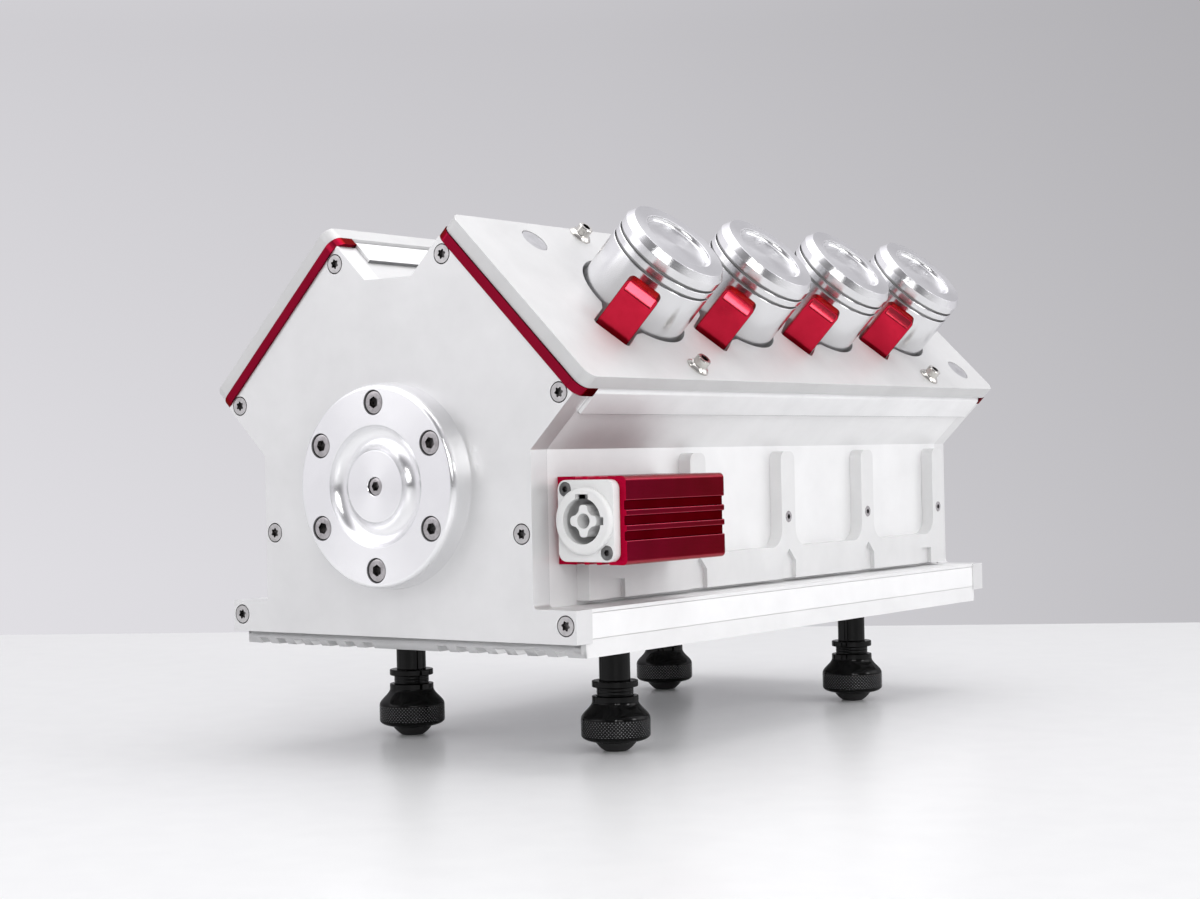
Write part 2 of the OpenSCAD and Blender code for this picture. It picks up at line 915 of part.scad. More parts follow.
module power_box() {
    x1 = waist_x + box_w;
    z1 = box_z + box_h;
    color("firebrick") stand() difference() {
        along_y(box_y, box_y + box_l) union() {
            rounded_rect(waist_x, x1, box_z, z1, box_edge_r);
            translate([waist_x, box_z]) square([box_w / 2, box_h]);
        }
        translate([waist_x - 1, box_y + box_wall, box_z + box_wall])
            cube([box_w - box_wall + 1, box_l - 2 * box_wall, box_h - 2 * box_wall]);
        for (k = [-1:1]) {
            translate([x1 - box_groove_d, box_y - 1, inlet_z + k * box_groove_pitch - box_groove_w / 2])
                cube([box_groove_d + 1, box_l + 2, box_groove_w]);
            for (z = [box_z - 1, z1 - box_groove_d])
                translate([inlet_x + k * box_groove_pitch - box_groove_w / 2, box_y - 1, z])
                    cube([box_groove_w, box_l + 2, box_groove_d + 1]);
        }
        inlet_frame() translate([0, 0, -box_wall - 1]) cylinder(h = box_wall + 2, r = core_r + 0.5);
        inlet_screw_places() inlet_screw_hole();
    }
}

module inlet_screw_places() {
    for (p = inlet_screws_at)
        inlet_frame() translate([p[0], p[1], inlet_t]) children();
}

module inlet_screw_hole() {
    countersunk_hole(inlet_head_r, inlet_shank_r, inlet_t + box_wall + 2);
}

module inlet_flange() {
    color("whitesmoke") stand() difference() {
        inlet_frame() difference() {
            union() {
                linear_extrude(inlet_t)
                    rounded_rect(-inlet_w / 2, inlet_w / 2, -inlet_h / 2, inlet_h / 2, inlet_corner_r);
                cylinder(h = inlet_t + inlet_ring_h - 1, r = inlet_ring_r);
                translate([0, 0, inlet_t + inlet_ring_h - 1 - eps])
                    cylinder(h = 1 + eps, r1 = inlet_ring_r, r2 = inlet_ring_r - 1);
            }
            translate([0, 0, -1]) cylinder(h = inlet_t + inlet_ring_h + 2, r = socket_r);
            translate([-3, 0, -1]) cube([6, socket_r + 1.3, inlet_t + inlet_ring_h + 2]);
            translate([0, -1.5, -1]) cube([socket_r + 1.2, 3, inlet_t + inlet_ring_h + 2]);
        }
        inlet_screw_places() inlet_screw_hole();
    }
}

// Socket body behind the flange: a cup with a lobed, hollow spigot in the middle
module inlet_core() {
    cup_d = 14;
    lobe = spigot_r + 1.4;
    lobe_w = 5.6;
    color("lightgray") stand() inlet_frame() {
        difference() {
            translate([0, 0, -core_l]) cylinder(h = core_l, r = core_r);
            translate([0, 0, -cup_d]) cylinder(h = cup_d + 1, r = socket_r);
        }
        translate([0, 0, -cup_d - eps]) difference() {
            linear_extrude(cup_d + inlet_t + inlet_ring_h - 1) {
                circle(spigot_r);
                for (a = [0:90:270])
                    rotate(a) translate([0, -lobe_w / 2]) square([lobe, lobe_w]);
            }
            translate([0, 0, 3]) cylinder(h = cup_d + inlet_t + inlet_ring_h, r = spigot_hole_r);
        }
    }
}

module inlet_screws() {
    color("gray") stand() inlet_screw_places()
        countersunk_screw(inlet_head_r, inlet_shank_r, inlet_t + box_wall + 2);
}

module power_supply() {
    color("darkgray") stand() translate([-supply_w / 2, supply_y, ledge_h])
        cube([supply_w, supply_l, supply_h]);
}

// Insulated lead from the inlet's back, round a bend and through the wall to the power supply
module inner_lead() {
    bend_x = inlet_x - lead_bend_r;
    start_y = box_y + core_l;
    color("black") stand() translate([0, 0, inlet_z]) {
        translate([inlet_x, start_y, 0]) rotate([-90, 0, 0])
            cylinder(h = lead_y() - lead_bend_r - start_y, r = lead_r);
        translate([bend_x, lead_y() - lead_bend_r, 0])
            rotate_extrude(angle = 90) translate([lead_bend_r, 0]) circle(lead_r);
        translate([supply_w / 2, lead_y(), 0]) rotate([0, 90, 0])
            cylinder(h = bend_x - supply_w / 2, r = lead_r);
    }
}

// ---- Feet ---------------------------------------------------------------------------------

module foot_stems() {
    color("black") stand() for (p = foot_places)
        translate([p[0], p[1], 0]) {
            translate([0, 0, -base_drop]) cylinder(h = spigot_up, r = foot_spigot_r);
            translate([0, 0, -thread_end]) cylinder(h = thread_end - base_drop, r = stem_d / 2);
            translate([0, 0, -thread_end]) cylinder(h = thread_end - ring_z - ring_t, r = thread_d / 2);
        }
}

module lock_rings() {
    color("black") stand() for (p = foot_places)
        translate([p[0], p[1], -ring_z - ring_t]) difference() {
            cylinder(h = ring_t, r = ring_r);
            translate([0, 0, -1]) cylinder(h = ring_t + 2, r = stem_d / 2 + fit);
        }
}

// The turned adjuster: a flared neck, a knurled ring and a rounded underside
module foot_bell(p) {
    r = bell_d / 2;
    profile = concat(
        [[0, -bell_floor], [thread_d / 2 + thread_gap, -bell_floor],
         [thread_d / 2 + thread_gap, -bell_top]],
        [[neck_r, -bell_top]],
        [for (k = [0:8])
            [neck_r + (r - neck_r) * (1 - cos(22.5 * k)) / 2, -bell_top - neck_l - flare_h * k / 8]],
        [[r, -pad_top + 2.6]],
        [for (k = [1:5]) [8.5 + (r - 8.5) * cos(18 * k), -pad_top + 2.6 - 2.6 * sin(18 * k)]],
        [[pad_stud_r + thread_gap, -pad_top], [pad_stud_r + thread_gap, -pad_top + pad_stud_l + 0.3]],
        [[0, -pad_top + pad_stud_l + 0.3]]
    );
    color("black") stand() translate([p[0], p[1], 0]) rotate_extrude() polygon(profile);
}

// Rubber pad that carries the load, with the stud on which the adjuster turns
module foot_pad(p) {
    tip_r = 4.7;
    top_r = 8.7;
    drop = foot_h - pad_top - 0.1;
    profile = concat(
        [[0, -foot_h], [tip_r, -foot_h]],
        [for (t = [0.2:0.2:1]) [tip_r + (top_r - tip_r) * t, -foot_h + drop * (0.55 * t + 0.45 * t * t)]],
        [[pad_stud_r, -pad_top - 0.1], [pad_stud_r, -pad_top + pad_stud_l], [0, -pad_top + pad_stud_l]]
    );
    color("dimgray") stand() translate([p[0], p[1], 0]) rotate_extrude() polygon(profile);
}

module foot_bell_fl() {
    foot_bell(foot_places[0]);
}

module foot_bell_rl() {
    foot_bell(foot_places[1]);
}

module foot_bell_fr() {
    foot_bell(foot_places[2]);
}

module foot_bell_rr() {
    foot_bell(foot_places[3]);
}

module foot_pad_fl() {
    foot_pad(foot_places[0]);
}

module foot_pad_rl() {
    foot_pad(foot_places[1]);
}

module foot_pad_fr() {
    foot_pad(foot_places[2]);
}

module foot_pad_rr() {
    foot_pad(foot_places[3]);
}

// ---- What is drawn ------------------------------------------------------------------------

base_plate();
side_inlays();
front_plate();
rear_plate();
wall_right();
wall_left();
valley_channel();
deck_right();
deck_left();
edge_bars_right();
edge_bars_left();
trim_front_right();
trim_front_left();
trim_rear_right();
trim_rear_left();
comb_right();
comb_left();
hub_cover();
hub_screws();
hub_centre_screw();
front_screws();
rear_screws();
comb_screws();
deck_discs();
deck_studs_right();
deck_studs_left();
power_box();
inlet_flange();
inlet_core();
inlet_screws();
power_supply();
inner_lead();
liners_right();
liners_left();
piston_r1();
piston_r2();
piston_r3();
piston_r4();
piston_l1();
piston_l2();
piston_l3();
piston_l4();
tab_r1();
tab_r2();
tab_r3();
tab_r4();
tab_l1();
tab_l2();
tab_l3();
tab_l4();
foot_stems();
lock_rings();
foot_bell_fl();
foot_bell_rl();
foot_bell_fr();
foot_bell_rr();
foot_pad_fl();
foot_pad_rl();
foot_pad_fr();
foot_pad_rr();
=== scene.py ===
import math

import bmesh
import bpy
from mathutils import Matrix, Vector


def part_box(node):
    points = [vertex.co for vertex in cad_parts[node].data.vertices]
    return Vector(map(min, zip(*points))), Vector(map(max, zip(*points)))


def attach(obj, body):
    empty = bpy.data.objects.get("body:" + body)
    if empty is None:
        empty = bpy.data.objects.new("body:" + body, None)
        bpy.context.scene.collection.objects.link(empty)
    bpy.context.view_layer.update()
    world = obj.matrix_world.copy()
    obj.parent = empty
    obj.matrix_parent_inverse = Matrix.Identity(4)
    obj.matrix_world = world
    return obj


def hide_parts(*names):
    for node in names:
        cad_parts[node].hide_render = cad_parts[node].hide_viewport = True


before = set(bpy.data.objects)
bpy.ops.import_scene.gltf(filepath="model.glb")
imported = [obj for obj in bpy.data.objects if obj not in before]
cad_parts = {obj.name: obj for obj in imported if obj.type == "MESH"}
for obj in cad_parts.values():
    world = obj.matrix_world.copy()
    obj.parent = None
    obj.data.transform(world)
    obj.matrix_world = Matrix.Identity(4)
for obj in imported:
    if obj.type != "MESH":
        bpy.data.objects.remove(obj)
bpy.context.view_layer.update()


# ---- Camera ------------------------------------
# Low and in front of the block's right-hand corner, level with the waist, about 1 m from its
# middle. It is rolled by little more than a degree.

scene = bpy.context.scene
eye = Vector((0.55551, -0.78629, 0.11935))
yaw, pitch, roll = (math.radians(a) for a in (36.119, -0.231, -1.194))
back = Vector((math.sin(yaw) * math.cos(pitch), -math.cos(yaw) * math.cos(pitch), math.sin(pitch)))
right = (-back).cross(Vector((0, 0, 1))).normalized()
up = right.cross(-back)
tilted_right = right * math.cos(roll) + up * math.sin(roll)
tilted_up = up * math.cos(roll) - right * math.sin(roll)

lens = bpy.data.cameras.new("camera")
lens.sensor_width = 36
lens.lens = 62.823
lens.clip_start = 0.01
lens.clip_end = 20
camera = bpy.data.objects.new("camera", lens)
camera.matrix_world = Matrix((
    (tilted_right.x, tilted_up.x, back.x, eye.x),
    (tilted_right.y, tilted_up.y, back.y, eye.y),
    (tilted_right.z, tilted_up.z, back.z, eye.z),
    (0, 0, 0, 1),
))
scene.collection.objects.link(camera)
scene.camera = camera


# ---- Table, backdrop and light -----------------
# A white table that ends behind the block, in front of a pale lilac-grey wall. Large soft lamps
# stand on both sides and above.

scene.view_settings.view_transform = "Standard"


def set_inputs(node, **values):
    """Sets a node's sockets by name, with an underscore for each space."""
    for name, value in values.items():
        node.inputs[name.replace("_", " ")].default_value = value
    return node


def plain_node(tree, kind, **values):
    return set_inputs(tree.nodes.new(kind), **values)


def math_node(tree, kind, a, b=0.0, node="ShaderNodeMath"):
    """Arithmetic on two values, each a constant or another node's output."""
    made = tree.nodes.new(node)
    made.operation = kind
    for socket, value in zip(made.inputs, (a, b)):
        if isinstance(value, bpy.types.NodeSocket):
            tree.links.new(value, socket)
        else:
            socket.default_value = value
    return made.outputs[0]


def ramp_node(tree, *stops):
    """A colour ramp through stops of (position, colour)."""
    made = tree.nodes.new("ShaderNodeValToRGB")
    elements = made.color_ramp.elements
    elements.remove(elements[1])
    for k, (position, colour) in enumerate(stops):
        stop = elements.new(position) if k else elements[0]
        stop.position = position
        stop.color = (*colour, 1)
    return made


def wire(tree, *links):
    """Joins nodes. A link is a node, its output, the next node and its input."""
    for source, output, target, socket in links:
        tree.links.new(source.outputs[output], target.inputs[socket])


def new_material(name):
    """A material, its node tree, its shader and a node for places on the object."""
    material = bpy.data.materials.new(name)
    material.use_nodes = True
    tree = material.node_tree
    return material, tree, tree.nodes["Principled BSDF"], tree.nodes.new("ShaderNodeTexCoord")


white, tree, shader, place = new_material("white_table")
set_inputs(shader, Roughness=0.28, Specular_IOR_Level=0.35)
speck = plain_node(tree, "ShaderNodeTexNoise", Scale=60.0, Detail=3.0)
shade = ramp_node(tree, (0, (0.80, 0.80, 0.815)), (1, (0.86, 0.86, 0.87)))
wire(tree, (place, "Object", speck, "Vector"), (speck, "Fac", shade, "Fac"),
     (shade, "Color", shader, "Base Color"))

table_end, half_w, half_d = 1.465, 4, 1.7
table_turn = Matrix.Rotation(yaw - math.radians(7.3), 4, "Z")
ahead = Vector((-back.x, -back.y, 0)).normalized()
far_edge = Vector((eye.x, eye.y, 0)) + ahead * table_end
centre = far_edge - table_turn @ Vector((0, half_d, 0))
table = bmesh.new()
bmesh.ops.create_grid(table, x_segments=1, y_segments=1, size=1)
bmesh.ops.scale(table, verts=table.verts, vec=(half_w, half_d, 1))
bmesh.ops.transform(table, verts=table.verts, matrix=Matrix.Translation(centre) @ table_turn)
table_mesh = bpy.data.meshes.new("table")
table.to_mesh(table_mesh)
table.free()
table_mesh.materials.append(white)
table_top = bpy.data.objects.new("table", table_mesh)
scene.collection.objects.link(table_top)

world = bpy.data.worlds.new("studio")
world.use_nodes = True
scene.world = world
sky = world.node_tree
sky.nodes.clear()
direction = sky.nodes.new("ShaderNodeTexCoord")
facing = plain_node(sky, "ShaderNodeMapping", Rotation=(0, 0, -yaw))
split = sky.nodes.new("ShaderNodeSeparateXYZ")
wire(sky, (direction, "Generated", facing, "Vector"), (facing, "Vector", split, "Vector"))
height = split.outputs["Z"]
around = math_node(sky, "ARCTAN2", split.outputs["X"], split.outputs["Y"])


def sky_ramp(value, reach, stops):
    """Shades of grey that change with a value between -reach and reach."""
    span = plain_node(sky, "ShaderNodeMapRange", From_Min=-reach, From_Max=reach)
    ramp = ramp_node(sky, *(((at / reach + 1) / 2, (grey,) * 3) for at, grey in stops))
    sky.links.new(value, span.inputs["Value"])
    wire(sky, (span, "Result", ramp, "Fac"))
    return ramp.outputs["Color"]


by_height = sky_ramp(height, 1, [(-0.3, 0.52), (-0.05, 0.50), (0.2, 0.42), (0.4, 0.55), (0.65, 0.8),
                                 (0.9, 1.0)])
by_side = sky_ramp(around, math.pi, [
    (math.radians(angle), grey) for angle, grey in (
        (-175, 0.14), (-150, 0.3), (-128, 0.94), (-100, 1.0), (-60, 0.86), (-17, 0.75), (0, 0.66),
        (17, 0.52), (34, 0.72), (52, 0.88), (75, 0.90), (105, 0.7), (135, 0.3), (175, 0.16))
])
room_light = sky_ramp(height, 1, [(-0.1, 0.30), (0.05, 0.20), (0.3, 0.36), (0.6, 0.66), (0.95, 0.85)])
lilac = (1.0, 0.985, 1.03)
backdrop = math_node(sky, "MULTIPLY", by_height, by_side, "ShaderNodeVectorMath")
backdrop = math_node(sky, "MULTIPLY", backdrop, lilac, "ShaderNodeVectorMath")
seen = plain_node(sky, "ShaderNodeBackground", Strength=2.0)
lit = sky.nodes.new("ShaderNodeBackground")
ray = sky.nodes.new("ShaderNodeLightPath")
which = sky.nodes.new("ShaderNodeMixShader")
out = sky.nodes.new("ShaderNodeOutputWorld")
sees_backdrop = ray.outputs["Is Camera Ray"]
for kind in ("Is Glossy Ray", "Is Transmission Ray"):
    sees_backdrop = math_node(sky, "MAXIMUM", sees_backdrop, ray.outputs[kind])
sky.links.new(backdrop, seen.inputs["Color"])
sky.links.new(room_light, lit.inputs["Color"])
sky.links.new(sees_backdrop, which.inputs["Fac"])
wire(sky, (lit, "Background", which, 1), (seen, "Background", which, 2), (which, "Shader", out, "Surface"))

for name, spot, size, power in (
    ("lamp_behind_right", (1.35, 1.2, 0.7), (1.1, 0.8), 4),
    ("lamp_right", (1.8, 0.35, 0.85), (0.45, 0.6), 6),
    ("lamp_right_front", (1.15, -0.97, 0.55), (0.35, 0.5), 2.5),
    ("lamp_by_camera", (1.12, -1.5, 0.85), (0.16, 0.8), 5.5),
    ("lamp_front_left", (-1.1, -1.6, 0.9), (1.2, 0.9), 3.6),
    ("lamp_top", (0.1, 0.1, 1.7), (1.6, 1.6), 12),
):
    lamp = bpy.data.lights.new(name, "AREA")
    lamp.shape = "RECTANGLE"
    lamp.size, lamp.size_y = size
    lamp.energy = power
    held = bpy.data.objects.new(name, lamp)
    held.location = spot
    held.rotation_euler = (Vector((0, 0, 0.1)) - Vector(spot)).to_track_quat("-Z", "Y").to_euler()
    scene.collection.objects.link(held)


# ---- End plates --------------------------------
# Two plates of 10 mm aluminium in the outline of an engine block, blasted and clear anodised.
# Countersunk screws hold them to the base, the walls and the valley channel.

MM = 0.001
plate_low, plate_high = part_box("front_plate")
plate_t = (plate_high[1] - plate_low[1]) / MM
body_l = (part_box("rear_plate")[1][1] - plate_low[1]) / MM
base_x, ledge_h, ledge_r = 90, 12.8, 2
waist_x, peak_x, valley_d = 70, 27, 14.7
shoulder_x, shoulder_h = plate_high[0] / MM, 93.5
peak_h = shoulder_h + shoulder_x - peak_x
stand = Matrix.Translation((0, plate_low[1], plate_low[2])) @ Matrix.Scale(MM, 4)
upright = Matrix.Rotation(math.radians(90), 4, "X")


def grey(level, blue=0.002):
    """A grey that is bluer by a little, as a colour."""
    return (level, level, level + blue)


def clouded(name, clouds, shades, fine, gloss, relief, streak=(1, 1, 1), **finish):
    """A material that is cloudy in colour, with a fine grain in its gloss and relief. The clouds and
    the grain are settings of noise, and the grain is drawn out along streak."""
    material, tree, shader, place = new_material(name)
    set_inputs(shader, **finish)
    stretch = plain_node(tree, "ShaderNodeMapping", Scale=streak)
    patches = plain_node(tree, "ShaderNodeTexNoise", **clouds)
    tint = ramp_node(tree, *shades)
    grain = plain_node(tree, "ShaderNodeTexNoise", **fine)
    shine = plain_node(tree, "ShaderNodeMapRange", To_Min=gloss[0], To_Max=gloss[1])
    bump = plain_node(tree, "ShaderNodeBump", Strength=relief[0], Distance=relief[1])
    wire(tree, (place, "Object", stretch, "Vector"), (place, "Object", patches, "Vector"),
         (stretch, "Vector", grain, "Vector"), (patches, "Fac", tint, "Fac"),
         (tint, "Color", shader, "Base Color"), (grain, "Fac", shine, "Value"),
         (shine, "Result", shader, "Roughness"), (grain, "Fac", bump, "Height"),
         (bump, "Normal", shader, "Normal"))
    return material


def metal_finish(name, dark, light, roughness, patch=0.03, grain=0.0006, depth=0.00001,
                 streak=(1, 1, 1), coat=0.0, edge=(1, 1, 1), metallic=1.0):
    """Bare or anodised metal, with the size of its clouds and grain in metres."""
    return clouded(
        name, {"Scale": 1 / patch, "Detail": 4.0, "Roughness": 0.6}, ((0.3, dark), (0.7, light)),
        {"Scale": 1 / grain, "Detail": 2.0}, roughness, (0.5, depth), streak,
        Metallic=metallic, Coat_Weight=coat, Coat_Roughness=0.08, Specular_Tint=(*edge, 1))


def arc(x, y, r, start, end, steps):
    """Points of an arc round (x, y), with its angles in degrees."""
    turns = (math.radians(start + (end - start) * k / steps) for k in range(steps + 1))
    return [(x + r * math.cos(a), y + r * math.sin(a)) for a in turns]


def circle(x, y, r, steps):
    """Points all round (x, y), with none of them twice."""
    return arc(x, y, r, 0, 360, steps)[:-1]


def only(kind, parts):
    """Those of an operator's results that are vertices, edges or faces."""
    return [part for part in parts["geom"] if isinstance(part, kind)]


def draw_loop(mesh, points, z=0.0):
    """A closed line through these points. Returns its edges."""
    corners = [mesh.verts.new((x, y, z)) for x, y in points]
    return [mesh.edges.new(pair) for pair in zip(corners, corners[1:] + corners[:1])]


def move(mesh, matrix):
    bmesh.ops.transform(mesh, verts=mesh.verts, matrix=matrix)


def cut_plate(lines, depth):
    """A plate along Z, cut to an outline and then to the holes inside it."""
    mesh = bmesh.new()
    loops = [edge for line in lines for edge in draw_loop(mesh, line)]
    faces = only(bmesh.types.BMFace, bmesh.ops.triangle_fill(mesh, edges=loops, use_beauty=True))
    moved = only(bmesh.types.BMVert, bmesh.ops.extrude_face_region(mesh, geom=faces))
    bmesh.ops.translate(mesh, verts=moved, vec=(0, 0, depth))
    bmesh.ops.recalc_face_normals(mesh, faces=mesh.faces)
    return mesh


def sharp_edges(mesh, wanted=lambda middle: True, angle=35):
    """Edges whose faces meet at more than this angle, where wanted says yes to their middle."""
    found = []
    for edge in mesh.edges:
        middle = (edge.verts[0].co + edge.verts[1].co) / 2
        if len(edge.link_faces) == 2 and edge.calc_face_angle() > math.radians(angle) and wanted(middle):
            found.append(edge)
    return found


def round_edges(mesh, edges, width, segments=3):
    bmesh.ops.bevel(mesh, geom=edges, offset=width, segments=segments, profile=0.5,
                    affect="EDGES", material=-1, clamp_overlap=True)


def make_piece(name, mesh, materials, place, body, nodes):
    """Turns a bmesh in millimetres into a finished object that stands for its CAD nodes."""
    bmesh.ops.remove_doubles(mesh, verts=mesh.verts, dist=0.002)
    move(mesh, place)
    bmesh.ops.recalc_face_normals(mesh, faces=mesh.faces)
    data = bpy.data.meshes.new(name)
    mesh.to_mesh(data)
    mesh.free()
    for material in materials:
        data.materials.append(material)
    data.shade_smooth()
    data.set_sharp_from_angle(angle=math.radians(40))
    piece = bpy.data.objects.new(name, data)
    scene.collection.objects.link(piece)
    piece.modifiers.new("even_faces", "WEIGHTED_NORMAL").keep_sharp = True
    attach(piece, body)
    if nodes:
        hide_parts(*nodes)


def make_skin(node, mesh, materials, place, body="block"):
    """A piece that stands for one CAD node and is named after it."""
    make_piece(node + "_skin", mesh, materials, place, body, [node])


blasted = metal_finish("blasted_aluminium", grey(0.71), grey(0.77), (0.40, 0.50), grain=0.0005,
                       depth=0.000012, metallic=0.65)
half_outline = (
    [(base_x, 0), (base_x, ledge_h)]
    + arc(waist_x + ledge_r, ledge_h + ledge_r, ledge_r, 270, 180, 6)
    + [(waist_x, shoulder_h - shoulder_x + waist_x), (shoulder_x, shoulder_h), (peak_x, peak_h)]
    + [(peak_x - valley_d, peak_h - valley_d)]
)
plate_outline = half_outline + [(-x, z) for x, z in reversed(half_outline)]
plate_screws = [(peak_x + 1.3, peak_h - 7.15), (shoulder_x - 6.5, shoulder_h + 0.7),
                (waist_x - 5, 41.2), (base_x - 5, 7)]
plate_screws += [(-x, z) for x, z in plate_screws]
plate_hole_r = 4.07


def off_holes(p):
    return all(abs(math.hypot(p.x - x, p.y - z) - plate_hole_r) > 0.03 for x, z in plate_screws)


plate_lines = [plate_outline] + [circle(x, z, plate_hole_r, 48) for x, z in plate_screws]
for node, front in (("front_plate", 0), ("rear_plate", body_l - plate_t)):
    plate = cut_plate(plate_lines, -plate_t)
    outer, inner = (0, -plate_t) if front == 0 else (-plate_t, 0)
    round_edges(plate, sharp_edges(plate, lambda p: abs(p.z - outer) < 0.01 and off_holes(p)), 0.9)
    round_edges(plate, sharp_edges(plate, lambda p: abs(p.z - inner) < 0.01 and off_holes(p)), 0.3, 2)
    place = stand @ Matrix.Translation((0, front, 0)) @ upright
    make_skin(node, plate, [blasted], place)


# ---- Base, walls and valley channel ------------
# Thick aluminium sections between the end plates, with their edges broken by a fine chamfer. A
# flat panel is let into each flank of the base, with a hairline joint round it.

# Two darker finishes that are painted shade: a near-black one for narrow gaps and seams, and a dimmer
# aluminium for the base plate's end faces.
painted_gap_shade = metal_finish("painted_gap_shade", grey(0.14, 0.005), grey(0.22, 0.005), (0.5, 0.6), metallic=0.5)
painted_end_shade = metal_finish("painted_end_shade", grey(0.52, 0.005), grey(0.60, 0.005), (0.45, 0.55), metallic=0.5)


def set_finish(mesh, choose):
    """Gives each face the finish whose number choose returns for it."""
    mesh.normal_update()
    for face in mesh.faces:
        face.material_index = int(choose(face))


def broken_edges(node, width, material):
    """A copy of a node's own shape with its sharp edges rounded. A wall's end bevels get painted shade,
    a dark line where it meets the plates, and the base plate's end faces get painted shade."""
    mesh = bmesh.new()
    mesh.from_mesh(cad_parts[node].data)
    bmesh.ops.scale(mesh, verts=mesh.verts, vec=(1 / MM,) * 3)
    bmesh.ops.remove_doubles(mesh, verts=mesh.verts, dist=0.001)
    bmesh.ops.dissolve_limit(mesh, angle_limit=math.radians(0.4), verts=mesh.verts, edges=mesh.edges)
    round_edges(mesh, sharp_edges(mesh), width, 2)
    if node.startswith("wall"):
        set_finish(mesh, lambda face: 0.2 < abs(face.normal.y) < 0.95)
    elif node == "base_plate":
        set_finish(mesh, lambda face: 2 * (abs(face.normal.y) > 0.5))
    make_skin(node, mesh, [material, painted_gap_shade, painted_end_shade], Matrix.Scale(MM, 4))


def drawn_finish(name, dark, light):
    """Aluminium with the fine lines of drawing along Y."""
    return metal_finish(name, grey(dark), grey(light), (0.5, 0.6), grain=0.0007, depth=0.000012,
                        streak=(1, 0.05, 1), metallic=0.45)


drawn = drawn_finish("drawn_aluminium", 0.82, 0.88)
for node, width, finish in (
    ("base_plate", 0.4, drawn),
    ("wall_right", 0.4, drawn),
    ("wall_left", 0.4, drawn),
    ("valley_channel", 0.5, drawn_finish("valley_aluminium", 0.64, 0.70)),
    ("side_inlays", 0.1, drawn_finish("inlay_aluminium", 0.88, 0.94)),
):
    broken_edges(node, width, finish)


# ---- Side combs --------------------------------
# A comb-shaped aluminium plate on each wall, milled in one piece, with arched pockets in its
# band. A countersunk screw holds each finger.

matt_comb = metal_finish("matt_comb", grey(0.73), grey(0.79), (0.5, 0.6), grain=0.0005, depth=0.000012,
                         metallic=0.3)
for node in ("comb_right", "comb_left"):
    broken_edges(node, 0.35, matt_comb)


# ---- Decks -------------------------------------
# A 6 mm plate on each bank with softly rounded edges. Each has four keyhole openings for the
# pistons and their tabs, and a boss underneath that seats it between the edge bars.

bank_turn = Matrix.Rotation(math.radians(45), 4, "Y")
right_bank = stand @ Matrix.Translation((shoulder_x, 0, shoulder_h)) @ bank_turn
mirror = Matrix.Scale(-1, 4, (1, 0, 0))
banks = (("right", right_bank), ("left", mirror @ right_bank))
bank_w = (shoulder_x - peak_x) * math.sqrt(2)
deck_gap, deck_t, deck_over, deck_r = 4, 6, 1.5, 5
deck_top = deck_gap + deck_t
bore_s, bore_pitch, first_bore = 46, 70, 77
bores = [first_bore + k * bore_pitch for k in range(4)]
piston_r = 23.5
deck_hole_r = piston_r + 1.5
tab_w, tab_r, tab_t, tab_turn = 15, 34, 7, -60
disc_r = 6
disc_places = [(80.2, 43.2), (12.3, body_l - 19.7)]
boss_in, boss_end = 1.3, 11.5


def rounded_rectangle(x0, x1, y0, y1, r, steps=6):
    corners = ((x1 - r, y0 + r, 270), (x1 - r, y1 - r, 0), (x0 + r, y1 - r, 90), (x0 + r, y0 + r, 180))
    return [point for x, y, turn in corners for point in arc(x, y, r, turn, turn + 90, steps)]


def keyhole(y):
    """Round hole for a piston, with a square-ended slot for its tab."""
    half, end, r = tab_w / 2 + 1, tab_r + tab_t + 3, 2
    join = math.degrees(math.asin(half / deck_hole_r)) + 4
    points = arc(0, 0, deck_hole_r, join, 360 - join, 64)
    points += [(deck_hole_r + 2.5, -half)] + arc(end - r, r - half, r, 270, 360, 4)
    points += arc(end - r, half - r, r, 0, 90, 4) + [(deck_hole_r + 2.5, half)]
    c, s = math.cos(math.radians(tab_turn)), math.sin(math.radians(tab_turn))
    return [(-bore_s + c * u - s * v, y + s * u + c * v) for u, v in points]


def on_rim(p):
    """Whether a point of a deck lies in the margin that its rounded corners reach."""
    reach = deck_r + 0.1
    return p.x > deck_over - reach or p.x < reach - bank_w - deck_over or p.y < 0.1 or p.y > body_l - 0.1


matt_blasted = metal_finish("matt_aluminium", grey(0.60), grey(0.66), (0.48, 0.58), grain=0.0005,
                            depth=0.000012, metallic=0.4)
keyholes = [keyhole(y) for y in bores]
deck_outline = rounded_rectangle(-bank_w - deck_over, deck_over, 0, body_l, deck_r)
deck_lines = [deck_outline] + keyholes + [circle(-s, y, disc_r, 60) for s, y in disc_places]
boss_outline = rounded_rectangle(boss_in - bank_w, -boss_in, boss_end, body_l - boss_end, 0.5, 2)
for side, bank in banks:
    deck = cut_plate(deck_lines, -deck_t)
    rim = sharp_edges(deck, lambda p: on_rim(p) and abs(p.z) < 0.01)
    mouths = sharp_edges(deck, lambda p: not on_rim(p) and abs(p.z) < 0.01)
    foot = sharp_edges(deck, lambda p: on_rim(p) and p.z < 0.01 - deck_t)
    round_edges(deck, rim, 1.6, 4)
    round_edges(deck, mouths, 0.4, 2)
    round_edges(deck, foot, 0.7, 2)
    make_skin("deck_" + side, deck, [matt_blasted], bank @ Matrix.Translation((0, 0, deck_top)))
    boss = cut_plate([boss_outline] + keyholes, deck_gap)
    make_piece(f"deck_{side}_boss", boss, [matt_blasted], bank, "block", [])


# ---- Cylinder liners ---------------------------
# Plain turned tubes under the decks, seen only through the gap round each piston. Their own
# shapes are right, so they only need their finish.

def refinish(node, material):
    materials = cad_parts[node].data.materials
    materials.clear()
    materials.append(material)


machined = metal_finish("machined_aluminium", grey(0.45, 0), grey(0.55, 0), (0.3, 0.4), streak=(1, 1, 0.1))
for node in ("liners_right", "liners_left"):
    refinish(node, machined)


